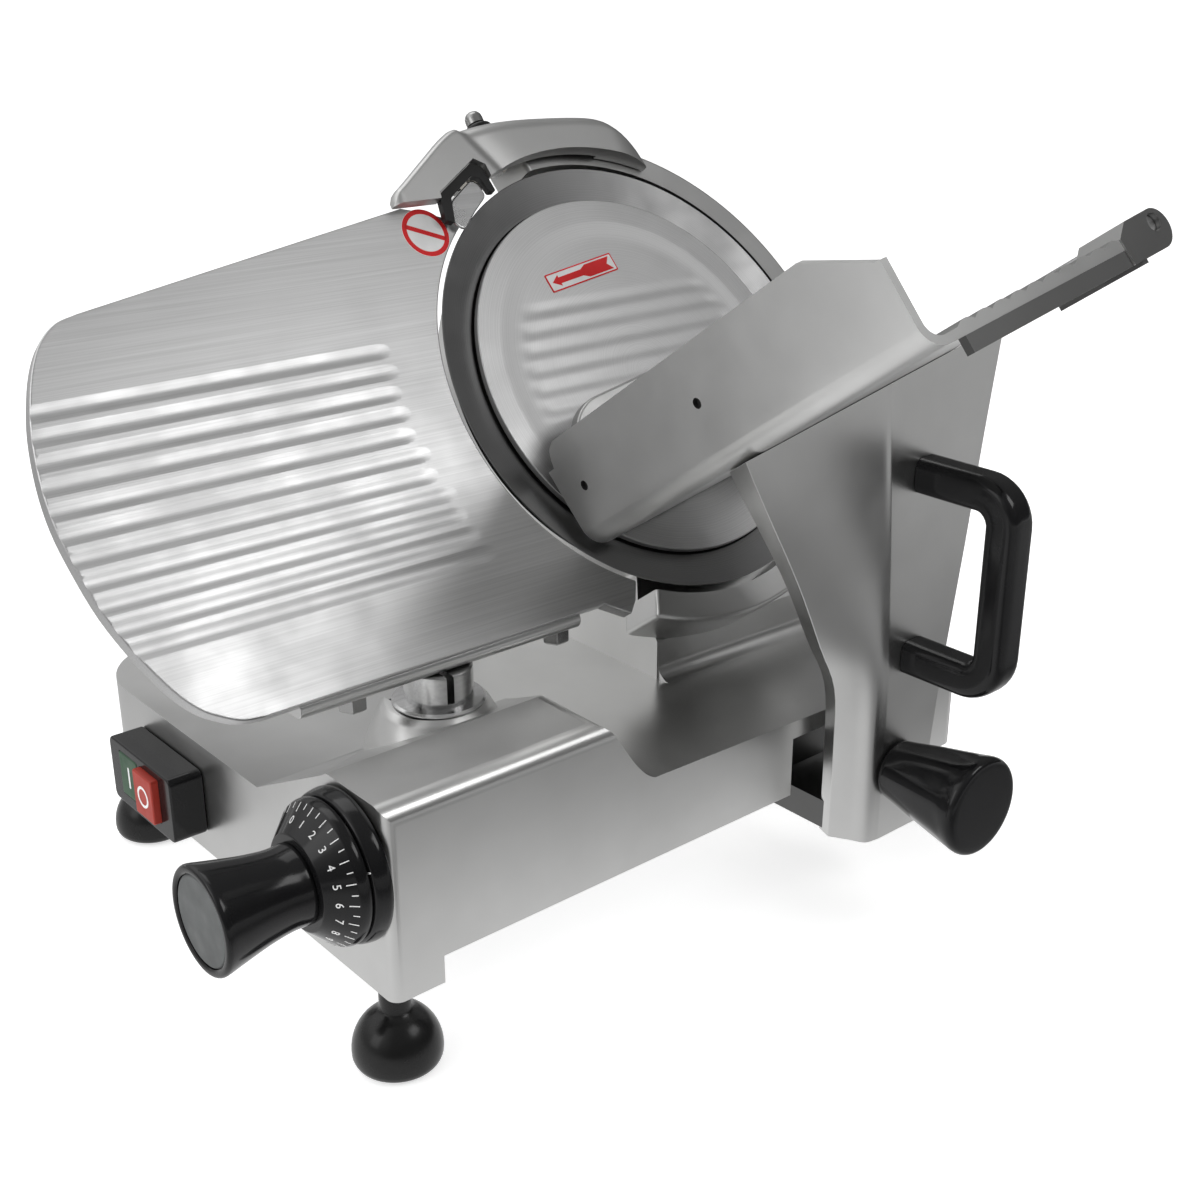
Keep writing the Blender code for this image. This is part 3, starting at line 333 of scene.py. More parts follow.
def square(name, reach):
    """Flat sheet at z = 0 reaching so far each way, in metres."""
    bm = bmesh.new()
    bm.faces.new([bm.verts.new((x * reach, y * reach, 0)) for x, y in ((-1, -1), (1, -1), (1, 1), (-1, 1))])
    return mesh_object(name, bm, Matrix.Identity(4))


def finish_piece(obj, body, slot, mat, *nodes, angle=30):
    """Smooth shading, finish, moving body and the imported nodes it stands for."""
    obj.data.shade_smooth()
    obj.data.set_sharp_from_angle(angle=math.radians(angle))
    normals = obj.modifiers.new("normals", "WEIGHTED_NORMAL")
    normals.keep_sharp = True
    obj.data.materials.clear()
    obj.data.materials.append(mat)
    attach(obj, body)
    if nodes:
        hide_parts(*nodes)


def turned_piece(node, profile, matrix, steps, body, slot, mat):
    """Lathe-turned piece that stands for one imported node."""
    finish_piece(lathe("fine_" + node, profile, matrix, steps), body, slot, mat, node)


def second_finish(obj, mat, matrix, belongs):
    """Gives another finish to the faces whose middle, seen in a design frame, belongs."""
    obj.data.materials.append(mat)
    slot = len(obj.data.materials) - 1
    back = matrix.inverted()
    for face in obj.data.polygons:
        if belongs(back @ face.center):
            face.material_index = slot


# ---- materials ----
def set_inputs(node, **values):
    """Sets a shader node's inputs by name; underscores stand for spaces."""
    for key, value in values.items():
        node.inputs[key.replace("_", " ")].default_value = value
    return node


def add_node(tree, kind, **values):
    return set_inputs(tree.nodes.new("ShaderNode" + kind), **values)


def new_material(name, colour, metallic, roughness, **constants):
    mat = bpy.data.materials.new(name)
    mat.use_nodes = True
    set_inputs(mat.node_tree.nodes["Principled BSDF"], Base_Color=(*colour, 1), Metallic=metallic,
               Roughness=roughness, **constants)
    return mat


def vector_math(tree, operation, source, second=(0, 0, 0)):
    node = add_node(tree, "VectorMath")
    node.operation = operation
    node.inputs[1].default_value = second
    tree.links.new(source, node.inputs[0])
    return node


def noise(mat, scale, detail, stretch=(1, 1, 1)):
    """Noise over the object's own coordinates; a small stretch makes it run long that way."""
    tree = mat.node_tree
    place = add_node(tree, "TexCoord")
    mapping = add_node(tree, "Mapping", Scale=stretch)
    texture = add_node(tree, "TexNoise", Scale=scale, Detail=detail)
    tree.links.new(place.outputs["Object"], mapping.inputs["Vector"])
    tree.links.new(mapping.outputs["Vector"], texture.inputs["Vector"])
    return texture.outputs["Fac"]


def spread(mat, source, low, high):
    """Maps a 0..1 value to a range."""
    node = add_node(mat.node_tree, "MapRange", From_Min=0.3, From_Max=0.7, To_Min=low, To_Max=high)
    mat.node_tree.links.new(source, node.inputs["Value"])
    return node.outputs["Result"]


def tint(mat, source, dark, light):
    """Mixes two colours by a 0..1 value and feeds the base colour."""
    ramp = add_node(mat.node_tree, "ValToRGB")
    ramp.color_ramp.elements[0].color = (*dark, 1)
    ramp.color_ramp.elements[0].position = 0.3
    ramp.color_ramp.elements[1].color = (*light, 1)
    ramp.color_ramp.elements[1].position = 0.7
    mat.node_tree.links.new(source, ramp.inputs["Fac"])
    shader = mat.node_tree.nodes["Principled BSDF"]
    mat.node_tree.links.new(ramp.outputs["Color"], shader.inputs["Base Color"])


def bump(mat, strength_and_source, distance):
    """Chains bump maps of (strength, height) pairs into the shader's normal."""
    tree = mat.node_tree
    last = None
    for strength, source in strength_and_source:
        node = add_node(tree, "Bump", Strength=strength, Distance=distance)
        tree.links.new(source, node.inputs["Height"])
        if last:
            tree.links.new(last, node.inputs["Normal"])
        last = node.outputs["Normal"]
    tree.links.new(last, tree.nodes["Principled BSDF"].inputs["Normal"])


def link_roughness(mat, source):
    tree = mat.node_tree
    tree.links.new(source, tree.nodes["Principled BSDF"].inputs["Roughness"])


def cast_metal(name, level, rough, grain=0.35):
    """Satin cast aluminium: fine bead-blasted grain, soft blotches and slight staining."""
    mat = new_material(name, (level,) * 3, 1.0, rough)
    cloud = noise(mat, 14, 4)
    tint(mat, cloud, (level * 0.93, level * 0.93, level * 0.92), (level * 1.05, level * 1.05, level * 1.04))
    link_roughness(mat, spread(mat, noise(mat, 60, 5), rough - 0.01, rough + 0.04))
    bump(mat, [(grain, noise(mat, 1500, 2))], 0.00002)
    return mat


def brushed_metal(name, level, rough, stretch, depth=0.5):
    """Brushed metal with fine lines along the least stretched axis."""
    mat = new_material(name, (level,) * 3, 1.0, rough)
    lines = noise(mat, 60, 4, stretch)
    tint(mat, lines, (level * 0.9,) * 3, (level * 1.08,) * 3)
    link_roughness(mat, spread(mat, noise(mat, 40, 4), rough - 0.04, rough + 0.05))
    bump(mat, [(depth, lines), (0.15, noise(mat, 1200, 2))], 0.00003)
    return mat


def turned_metal(name, level, rough, depth=0.4):
    """Lathe-turned metal: fine rings round the blade axis."""
    mat = new_material(name, (level,) * 3, 1.0, rough)
    tree = mat.node_tree
    place = add_node(tree, "TexCoord")
    offset = vector_math(tree, "SUBTRACT", place.outputs["Object"], BLADE @ Vector())
    radius = vector_math(tree, "LENGTH", offset.outputs["Vector"])
    rings = add_node(tree, "TexNoise", Scale=2500, Detail=4)
    rings.noise_dimensions = "1D"
    tree.links.new(radius.outputs["Value"], rings.inputs["W"])
    tint(mat, rings.outputs["Fac"], (level * 0.88,) * 3, (level * 1.08,) * 3)
    link_roughness(mat, spread(mat, noise(mat, 50, 4), rough - 0.04, rough + 0.05))
    bump(mat, [(depth, rings.outputs["Fac"])], 0.00003)
    return mat


def gloss_plastic(name, colour, rough, peel=0.12):
    """Moulded plastic with slight orange peel and dust-dulled patches."""
    mat = new_material(name, colour, 0.0, rough, Specular_IOR_Level=0.3)
    light = tuple(min(1, c * 1.35 + 0.002) for c in colour)
    tint(mat, noise(mat, 35, 4), colour, light)
    link_roughness(mat, spread(mat, noise(mat, 90, 5), rough * 0.8, rough * 1.35))
    bump(mat, [(peel, noise(mat, 700, 2))], 0.00005)
    return mat


def stone_grit(name):
    mat = new_material(name, (0.6, 0.56, 0.5), 0.0, 0.9)
    speckle = noise(mat, 2500, 2)
    tint(mat, speckle, (0.35, 0.33, 0.3), (0.8, 0.77, 0.7))
    bump(mat, [(1.0, speckle)], 0.0002)
    return mat


CAST = cast_metal("cast_satin", 0.62, 0.3)
CAST_GREY = cast_metal("cast_grey", 0.36, 0.38)
# Painted shade: a near-black copy of the cast metal for recesses, hole bottoms and faces lying in shadow.
CAST_PAINTED_SHADE = cast_metal("cast_painted_shade", 0.13, 0.42)
CAST_SOFT = cast_metal("cast_soft", 0.5, 0.4)
BRUSHED = brushed_metal("brushed_plate", 0.56, 0.38, (0.15, 22, 22), 0.15)
TRAY_METAL = cast_metal("satin_tray", 0.84, 0.4, 0.2)
TURNED = turned_metal("turned_cover", 0.56, 0.4, 0.2)
BLADE_STEEL = turned_metal("blade_steel", 0.22, 0.36)
STEEL = brushed_metal("steel_rod", 0.55, 0.25, (0.3, 10, 10))
BOLT_STEEL = cast_metal("bolt_steel", 0.35, 0.2, 0.1)
POLISHED = cast_metal("polished", 0.78, 0.1, 0.05)
BLACK = gloss_plastic("gloss_black", (0.006, 0.006, 0.0065), 0.13)
BLACK_SATIN = gloss_plastic("satin_black", (0.012, 0.012, 0.012), 0.32, 0.3)
RUBBER = gloss_plastic("foot_rubber", (0.008, 0.008, 0.008), 0.22, 0.3)
GREY = gloss_plastic("matt_grey", (0.09, 0.095, 0.095), 0.5, 0.4)
GREEN = gloss_plastic("switch_green", (0.03, 0.075, 0.04), 0.4)
RED = gloss_plastic("switch_red", (0.34, 0.03, 0.018), 0.4)
WHITE = gloss_plastic("print_white", (0.75, 0.75, 0.74), 0.45)
LABEL_RED = gloss_plastic("label_red", (0.6, 0.012, 0.014), 0.5)
STONE = stone_grit("stone_grit")
MOTOR = gloss_plastic("motor_enamel", (0.12, 0.13, 0.14), 0.4)

SLOT_FINISH = {"cast_aluminium": CAST, "steel": STEEL, "chrome": POLISHED, "blade_steel": BLADE_STEEL,
               "black_plastic": BLACK, "rubber": RUBBER, "grey_plastic": GREY, "green_plastic": GREEN,
               "red_plastic": RED, "stone": STONE, "motor_paint": MOTOR}


# ---- base ----
def ledge_solid():
    """Raised front ledge with its S-shaped right end and its back ramp, past the outer walls."""
    past = 12
    end = [(-156, LEDGE_Z), (-151, 137.6), (-146, 133.6), (-139, 123), (-131, 111.5), (-122, 103),
           (-110, 99.2)]
    side = [(BASE_X0 - past, 70), (BASE_X0 - past, LEDGE_Z)] + curve(end, 5) + [(-97, 98.8), (-95, 70)]
    solid = prism("ledge", side, -RAMP_Y - 4, past, SIDE)
    profile = [(-past, 60), (-past, LEDGE_Z + 3), (LEDGE_Y - 4, LEDGE_Z + 3), (LEDGE_Y + 3, LEDGE_Z - 2),
               (RAMP_Y, DECK_LEFT_Z - 1.5), (RAMP_Y, 60)]
    envelope = prism("ledge_envelope", profile, BASE_X0 - past - 1, -80, END)
    return combine(solid, envelope, "INTERSECT")


def ledge_round():
    """Cutter for the broad rounding along the front upper edge of the ledge."""
    radius = 9.0
    bend = arc(radius, LEDGE_Z - radius, radius, 180, 90, 14)
    return prism("ledge_round", [(-8, LEDGE_Z - radius), *bend, (radius, LEDGE_Z + 8), (-8, LEDGE_Z + 8)],
                 BASE_X0 - 20, -100, END)


def base_casting():
    outline = rounded_rect(BASE_X0, 0, BASE_X1, BASE_Y1, (6, 8, 40, 50), 14)
    body = prism("fine_base_casting", outline, SKIRT_Z, LEDGE_Z, WORLD)
    above = prism("above", [(BASE_X0 - 20, DECK_LEFT_Z + 0.4), (BASE_X1 + 20, DECK_RIGHT_Z - 0.4),
                            (BASE_X1 + 20, 200), (BASE_X0 - 20, 200)], -BASE_Y1 - 20, 20, SIDE)
    cut(above, ledge_solid())
    cut(body, above, ledge_round())
    soften(body, 2.2, 4, 32)
    slope = curve([(38, 92), (37, 102), (34.5, 112), (31, 121), (27, 128.8)], 5)
    boss = lathe("boss", [(0, 90)] + slope + [(25, 131), (22, 131.6), (0, 131.6)],
                 axes(Vector((COLUMN_X, COLUMN_Y + 3, 0)), X, Y), 96)
    neck = prism("neck", column_outline(0, -139.6), -158, NECK_N, BLADE)
    join(neck, block("lower", (NECK_X0, NECK_Y, 80), (NECK_X1, 285, 122)))
    cut(neck, block("rear", (-200, 286, 0), (200, 400, 400)), block("under", (-200, 0, 0), (200, 400, 80)))
    soften(neck, 4, 4, 30)
    join(body, boss, neck, neck_fillet())
    hollow_base(body)
    finish_piece(body, "base", "cast_aluminium", CAST, "base_casting", angle=28)
    # Painted shade: the faces inside the front recess for the arm get the near-black cast finish.
    second_finish(body, CAST_PAINTED_SHADE, WORLD,
                  lambda at: at.x > RECESS_X - 1.5 and 0.5 < at.y < 45 and at.z < 96.5)


def column_outline(inset, foot):
    left = NECK_X0 + inset
    right = NECK_X1 - inset
    top = arc(24, -6, 62 - inset, 20, 160, 36)
    return [(left, foot), (right, foot), (right, 0)] + top + [(left, 0)]


def neck_fillet():
    """Concave run between the deck and the front of the neck."""
    radius = 9.0
    rings = []
    for x in (NECK_X0 + 1, NECK_X1 - 1):
        deck = DECK_LEFT_Z + (DECK_RIGHT_Z - DECK_LEFT_Z) * (x - BASE_X0) / (BASE_X1 - BASE_X0)
        bend = arc(NECK_Y - radius, deck + radius, radius, 270, 360, 10)
        rings.append([(x, NECK_Y + 3, deck - 4), (x, NECK_Y - radius, deck - 4)]
                     + [(x, y, z) for y, z in bend] + [(x, NECK_Y + 3, deck + radius)])
    return loft("neck_fillet", rings, WORLD)


def hollow_outline(side):
    """Plan of the hollow with side walls so thick; the front steps back behind the arm's recess."""
    left, right, rear = BASE_X0 + side, BASE_X1 - side, BASE_Y1 - WALL
    return [(left, WALL), (RECESS_X - 5, WALL), (RECESS_X - 5, RECESS_Y + 5), (right, RECESS_Y + 5),
            (right, BASE_Y1 - 40), (BASE_X1 - 40, rear), (BASE_X0 + 45, rear), (left, BASE_Y1 - 45)]


def hollow_base(body):
    slot = rounded_rect(COLUMN_X - 19, COLUMN_Y - 19, COLUMN_X + 19, COLUMN_Y + 19 + GAUGE_TRAVEL, 18)
    roller = [(LEDGE_Y - 7, 88), (67, 88), (67, 113), (56, 126), (LEDGE_Y - 7, 126)]
    motor_bay = prism("motor_bay", column_outline(WALL, -134), -152, -55, BLADE)
    cut(motor_bay, block("trim", (-200, 281, 0), (200, 400, 400)))
    cut(body,
        prism("cavity", hollow_outline(WALL), FLOOR_Z + 2, 92, WORLD),
        prism("mouth", hollow_outline(SKIRT), 30, FLOOR_Z + 3, WORLD),
        block("notch", (BASE_X0 + SKIRT, -5, 30), (BASE_X1 - SKIRT, BASE_Y1 + 5, SILL_Z)),
        block("recess", (RECESS_X, -5, 30), (BASE_X1 - SKIRT, RECESS_Y, 90)),
        block("dial_bay", (BASE_X0 + WALL, WALL, 90), (-160, LEDGE_Y - WALL, LEDGE_Z - WALL)),
        prism("roller_bay", roller, BASE_X0 + WALL, -225, END),
        prism("slot", slot, 85, 140, WORLD),
        motor_bay,
        prism("belt_bay", column_outline(WALL + 2, -100), -60, NECK_N + 5, BLADE),
        block("well", (NECK_X0 + WALL, 95, 80), (NECK_X1 - WALL, 278, 118)),
        cylinder("shaft_bore", 8.5, BASE_X0 - 5, BASE_X0 + 15, axes(Vector((0, DIAL_Y, DIAL_Z)), Y, Z)),
        cylinder("tie_bore", 5, -200, -140, BLADE),
        cylinder("rod_bores", ROD_R + GAP, BASE_X0 + SKIRT - 8, BASE_X1 - SKIRT + 8,
                 axes(Vector((0, ROD_Y, ROD_Z)), Y, Z)))


def feet():
    dome = [(FOOT_R * math.cos(math.radians(a)), 7 + FOOT_R * 1.05 * math.sin(math.radians(a)))
            for a in range(0, 69, 6)]
    profile = [(0, 0), (FOOT_R - 4.5, 0)]
    profile += curve([(FOOT_R - 3, 0.4), (FOOT_R - 1.2, 2), (FOOT_R - 0.2, 4.5)], 3)
    profile += dome + [(7.5, 28.5), (7.5, SKIRT_Z - GAP), (0, SKIRT_Z - GAP)]
    for name, x, y in (("foot_front_left", BASE_X0 + 11, 17), ("foot_front_right", BASE_X1 - 13, 17),
                       ("foot_rear_left", BASE_X0 + 20, 280), ("foot_rear_right", BASE_X1 - 20, 280)):
        at = axes(Vector((x, y, 0)), X, Y)
        turned_piece(name, profile, at, 96, "base", "rubber", RUBBER)


# ---- blade group ----
def blade_housing():
    outline = arc(0, 0, GUARD_R, -115, 99, 150) + arc(0, 0, 112, 99, 245, 80)
    body = prism("fine_blade_housing", outline, NECK_N + GAP, -2, BLADE)
    soften(body, 2.5, 4, 40)
    cut(body, cylinder("bore", GUARD_BORE, -20, 10, BLADE, 240),
        cylinder("bearing_seat", 17 + GAP, -60, 0, BLADE, 64))
    finish_piece(body, "base", "cast_aluminium", CAST, "blade_housing")


def blade():
    profile = [(8 + GAP, -8), (103, -8), (106, -5), (124.6, -0.4), (BLADE_R, -0.6), (BLADE_R, -1.0),
               (118, -7.0), (106, -11), (60, -14), (8 + GAP, -14)]
    turned_piece("blade", profile, BLADE, 256, "blade", "blade_steel", BLADE_STEEL)


GROOVE_LIFT = 0.05              # how far the groove cutters clear the untouched face


def wave(s, middle, pitch):
    """Rounded flute: 1 at its middle, 0 half a pitch away."""
    return 0.5 * (1 + math.cos(2 * math.pi * (s - middle) / pitch))


def cover_height(x, s):
    pitch, first, last, depth = 11.0, 45.0, -65.0, 0.36
    r = math.hypot(x, s)
    if r > 96:
        return GROOVE_LIFT
    dish = 0.55 * ease((95 - r) / 16) - GROOVE_LIFT
    inner = ease((82 - r) / 10) * (first + pitch / 2 > s > last - pitch / 2)
    return -dish - depth * inner * wave(s, first, pitch)


def blade_cover():
    rim = curve([(COVER_R, -0.6), (104.8, -0.15), (104.3, 0)], 4)
    profile = [(0, -4.2), (104, -4.2), (COVER_R, -3.6)] + rim + [(0, 0)]
    disc = lathe("fine_blade_cover", profile, BLADE, 220)
    across = steps_between(-99, 99, 110)
    along = steps_between(-99, 99, 200)
    cut(disc, relief("cover_relief", across, along, cover_height, BLADE))
    finish_piece(disc, "base", "cast_aluminium", TURNED, "blade_cover", angle=20)


def cover_knob():
    profile = [(4 + GAP, -193), (12, -193)]
    profile += curve([(15, -192), (17, -188), (17, -172), (15, -168), (12, -166)], 4)
    knob = lathe("fine_cover_knob", profile + [(4 + GAP, -166)], BLADE, 96,
                 lambda a, r, w: 1 + (0.03 * math.cos(12 * a) if r > 15 else 0))
    finish_piece(knob, "cover_knob", "black_plastic", BLACK, "cover_knob")


# ---- sharpener ----
CROWN = ((-119.5, 112.5), (-119, 115), (-116, 119), (-110, 123), (-92, 135.5), (-74, 147.5), (-62, 152),
         (-34, 155.5), (-5, 155.8), (30, 153.5), (45, 147), (55, 136), (60, 123))
COVER_FACE = 9.0
CREASE_TOP, CREASE_LOW = Vector((-64.0, 147.0)), Vector((-50.0, 122.0))
MOUTH = [(-96, 92), (-91, 115), (-62, 132), (-55.6, 128), (-53.4, 100)]


def crown_height(x):
    """Upper edge of the sharpener cover above the blade centre."""
    points = curve(CROWN, 8)
    for (x0, s0), (x1, s1) in zip(points, points[1:]):
        if x0 <= x <= x1 and x1 > x0:
            return s0 + (s1 - s0) * (x - x0) / (x1 - x0)
    return points[0][1] if x < points[0][0] else points[-1][1]


def cover_face(x, s, crown):
    """Front of the cover: flat block on the left, a valley, then a barrel-shaped hood."""
    along = (CREASE_LOW - CREASE_TOP).normalized()
    right = Vector((-along.y, along.x))
    beyond = (Vector((x, s)) - CREASE_TOP).dot(right)
    hood = ease(beyond / 6)
    radius = 3.5 + 5.5 * hood
    inset = max(0.0, 1 - (crown - s) / radius)
    edge = radius * (1 - math.sqrt(max(0.0, 1 - inset * inset)))
    end = max(0.0, 1 - (60.5 - x) / 22)
    taper = 6.0 * end * end
    valley = 1.6 * hood * math.exp(-(beyond / 12) ** 2)
    left = max(0.0, 1 - (x + 119.5) / 5)
    return COVER_FACE - edge - taper - valley - 4 * left * left


def sharpener_cover():
    stations = steps_between(-119.3, -70, 22) + steps_between(-68.5, -40, 24) + steps_between(-38, 59.8, 44)
    rings = []
    for x in stations:
        top = min(crown_height(x), 156)
        low = 92.0
        front = [low + (top - low) * k / 60 for k in range(61)]
        rings.append([(x, s, cover_face(x, s, top)) for s in front] + [(x, top, -38), (x, low, -38)])
    body = loft("fine_sharpener_cover", rings, BLADE)
    cut(body,
        cylinder("under", COVER_LIP_R, -60, 30, BLADE, 260),
        prism("corner", [(-140, 60), (-86, 60), (-86, 106), (-91, 111.4), (-140, 111.4)], -60, 30, BLADE),
        prism("hollow", [(-53, 100), (-53, 141), (-34, 147), (28, 147), (28, 90)], -33, 1.4, BLADE),
        prism("sweep", [(-140, 80), (-48, 80), (-48, 124.5), (-140, 124.5)], -60, 2.5, BLADE),
        prism("ledge", [(-140, 124), (-56, 124), (-56, 170), (-140, 170)], -60, -9, BLADE),
        cylinder("ring", GUARD_R + 0.6, -60, -1.3, BLADE, 200),
        prism("mouth", MOUTH, -10, 20, BLADE),
        cylinder("pin_bore", 3.5 + GAP, 140, 190, GRIND),
        cylinder("head_bore", 5 + GAP, 153, 190, GRIND),
        cylinder("hone_bore", 3.5 + GAP, -60, -30, inside(BLADE, Vector((HONE_X, HONE_S, 0)), X, Y)))
    finish_piece(body, "base", "cast_aluminium", CAST_SOFT, "sharpener_cover", angle=38)
    # Painted shade: a black band round the inside of the mouth cut stands for its shadowed inner walls.
    rim = [(-93, 100), (-90.6, 114.6), (-62.2, 131.2), (-56.6, 127.6), (-54.4, 113), (-58.6, 113),
           (-61, 121.5), (-65.5, 123.5), (-84, 112.2), (-88, 98)]
    shade_band = prism("mouth_shade_band", rounded(rim, 1.2, 3), 2.8, 6.6, BLADE)
    finish_piece(shade_band, "base", "rubber", BLACK_SATIN)
    guard = [(-87.4, 98.6), (-83.4, 111), (-66, 122), (-62, 119.5), (-60, 112), (-72, 103), (-82, 94)]
    inner = prism("stone_guard", rounded(guard, 3, 4), 2.8, 4.6, BLADE)
    soften(inner, 0.8, 3, 40)
    finish_piece(inner, "base", "steel", STEEL)


def grind_pin():
    profile = [(0, 129), (3.5, 129), (3.5, 159.8), (5, 160)]
    profile += curve([(5, 163), (4.6, 165), (3.2, 166.8), (1.4, 167.4)], 4) + [(0, 167.5)]
    turned_piece("grind_pin", profile, GRIND, 64, "grind_pin", "chrome", BOLT_STEEL)
    collar = [(5.4, 155.2), (8, 155.2)] + curve([(8, 156), (7.7, 157.5), (6.8, 158.4), (5.8, 158.6)], 3)
    turned_piece("pin_collar", collar + [(5.4, 158.4)], GRIND, 64, "base", "rubber", RUBBER)


# ---- gauge plate ----
def gauge_outline():
    left = curve([(-298, 81), (-309, 78), (-318, 71), (-325, 61), (-331, 48), (-337, 30), (-341, 8),
                  (-342, -12), (-340, -32), (-336, -54), (-329, -75), (-320, -94), (-312, -105), (-304, -111),
                  (-295, -115.5),
                  (-284, -117)], 4)
    right = [(-91, -116), (-77, -125), (-71, -119)]
    edge = arc(0, 0, BLADE_R + 2.5, 239, 128, 110)
    return left + right + edge + [(-98, 109), (-112, 113)]


GROOVE_ENDS = (-152, -152, -155, -155, -157, -153, -154, -148, -147, -144, -139)
GROOVE_TOP, GROOVE_PITCH, GROOVE_DEPTH = 38.0, 11.2, 0.55


def gauge_height(x, s):
    k = min(len(GROOVE_ENDS) - 1, max(0, round((GROOVE_TOP - s) / GROOVE_PITCH)))
    middle = GROOVE_TOP - GROOVE_PITCH * k
    depth = GROOVE_DEPTH * ease((GROOVE_ENDS[k] + 3 - x) / 13)
    return GROOVE_LIFT - depth * wave(s, middle, GROOVE_PITCH)


def gauge_plate():
    plate = prism("fine_gauge_plate", gauge_outline(), -8, 0, BLADE)
    soften(plate, 1.1, 3, 50)
    half = GROOVE_PITCH / 2
    lowest = GROOVE_TOP - half - GROOVE_PITCH * (len(GROOVE_ENDS) - 1)
    s_values = steps_between(GROOVE_TOP + half, lowest, 177)
    stations = steps_between(-360, -176, 9) + steps_between(-172, -134, 26)
    cut(plate, relief("gauge_relief", stations, s_values, gauge_height, BLADE))
    foot_y = BLADE_CENTRE.y - 117 * SLOPE.y - 8 * NORMAL.y
    foot_z = BLADE_CENTRE.z - 117 * SLOPE.z - 8 * NORMAL.z
    rib = prism("rib", [(foot_y - 4, foot_z + 4), (foot_y - 2, 160.4), (101, 160.4), (101, 166),
                        (foot_y + 20, 186)], -250, -120, END)
    join(plate, rib)
    finish_piece(plate, "gauge", "cast_aluminium", BRUSHED, "gauge_plate", angle=24)


def gauge_bar():
    nose = arc(78.2, 155.4, 4.8, 270, 90, 18)
    section = [(100, 150.5)] + [(100, 160.2)] + nose[::-1]
    bar = prism("fine_gauge_bar", section, -266, -104, END)
    soften(bar, 0.8, 3)
    for x in (-232, -111):
        cut(bar, cylinder("bolt_hole", 4.3, 140, 170, axes(Vector((x, 86, 0)), X, Y)))
    finish_piece(bar, "gauge", "cast_aluminium", CAST, "gauge_bar")
    for name, x in (("gauge_bolt_left", -232), ("gauge_bolt_right", -111)):
        at = axes(Vector((x, 86, 0)), X, Y)
        shank = cylinder("shank", 4, 149, 160, at)
        head = lathe("fine_" + name, [(0, 141.5), (5.4, 141.5), (7.4, 143), (7.4, 150.2), (0, 150.2)], at, 6)
        soften(head, 0.35, 2, 20)
        finish_piece(join(head, shank), "gauge", "chrome", BOLT_STEEL, name, angle=20)


def gauge_column():
    at = axes(Vector((COLUMN_X, COLUMN_Y, 0)), X, Y)
    profile = [(0, 91.7), (COLUMN_R - 1, 91.7), (COLUMN_R - 1, 132)]
    profile += curve([(COLUMN_R, 133), (COLUMN_R, 148), (COLUMN_R - 0.6, 149.6), (COLUMN_R - 1.6, 150.2)], 3)
    column = lathe("fine_gauge_column", profile + [(0, 150.2)], at, 96)
    cut(column, block("clamp_slot", (COLUMN_X - 6, COLUMN_Y - 20, 136), (COLUMN_X - 2.5, COLUMN_Y - 6, 152)))
    disc = [(COLUMN_R - 2, 131.9), (23, 131.9), (23, 132.6), (22, 133.6), (COLUMN_R - 2, 134)]
    join(column, lathe("flange", disc, at, 96))
    finish_piece(column, "gauge", "steel", STEEL, "gauge_column")


# ---- dial ----
def dial_parts():
    ring = [(9, GAP), (34, GAP)]
    ring += curve([(35, 1), (35.5, 3), (34.9, 7), (34, 9), (32.5, 9.5)], 4) + [(9, 9.5)]
    turned_piece("index_ring", ring, DIAL, 128, "base", "black_plastic", BLACK)
    turned = DIAL @ Matrix.Rotation(math.radians(-68), 4, "Z")
    mark = prism("index_mark", rounded_rect(30.5, -0.4, 33.8, 0.4, 0.2, 3), 9.0, 9.75, turned)
    finish_piece(mark, "base", "black_plastic", WHITE)
    skirt = [(7 + GAP, 9.9), (32.6, 9.9)] + curve([(33.3, 10.6), (33.6, 12), (33.4, 14), (32.6, 16)], 3)
    skirt += [(22.4, 26.6), (21.6, 27), (7 + GAP, 27)]
    turned_piece("dial_skirt", skirt, DIAL, 128, "dial", "black_plastic", BLACK)
    knob = [(7 + GAP, 27.3), (18.2, 27.3)]
    knob += curve([(18.5, 28), (18.2, 36), (19.8, 48), (22.8, 62), (24.4, 69), (24.3, 71), (23.3, 72),
                   (21.6, 72), (20.6, 71.4)], 5)
    knob += [(20.6, 69.2), (7 + GAP, 69.2)]
    turned_piece("dial_knob", knob, DIAL, 128, "dial", "black_plastic", BLACK)
    cap = [(0, 69.5), (20.2, 69.5), (20.2, 70.9), (19.6, 71.3), (0, 71.7)]
    turned_piece("dial_cap", cap, DIAL, 96, "dial", "grey_plastic", GREY)
    dial_scale()


def skirt_frame(angle, r, w, lean):
    """Frame lying on the dial's cone: u across, v outward along the slope."""
    out = Vector((math.cos(angle), math.sin(angle), 0))
    across = Vector((math.sin(angle), -math.cos(angle), 0))
    along = (out * math.cos(lean) - Vector((0, 0, 1)) * math.sin(lean)).normalized()
    return inside(DIAL, out * r + Vector((0, 0, w)), across, along)


def digit(text, matrix, height):
    data = bpy.data.curves.new("digit", "FONT")
    data.body = text
    data.size = height
    data.extrude = 0.16
    data.align_x = "CENTER"
    data.align_y = "CENTER"
    obj = new_object("digit", data)
    mesh = evaluated_mesh(obj)
    bpy.data.objects.remove(obj)
    mesh.transform(matrix)
    return new_object("digit", mesh)


def dial_scale():
    """White graduations and numbers, one number every 18 degrees."""
    lean = math.atan2(26.6 - 16, 32.6 - 22.4)
    marks = []
    for k in range(40):
        angle = -math.radians(9 * k)
        long = 4.4 if k % 2 == 0 else 2.8
        at = skirt_frame(angle, 32.55, 16.05, lean)
        marks.append(prism("tick", [(-0.22, -long), (0.22, -long), (0.22, 0), (-0.22, 0)], -0.1, 0.14, at))
    for k in range(10):
        angle = -math.radians(18 * (k - 1))
        marks.append(digit(str(k), skirt_frame(angle, 26.6, 22.2, lean), 5.2))
    finish_piece(merge("dial_scale", marks), "dial", "black_plastic", WHITE)


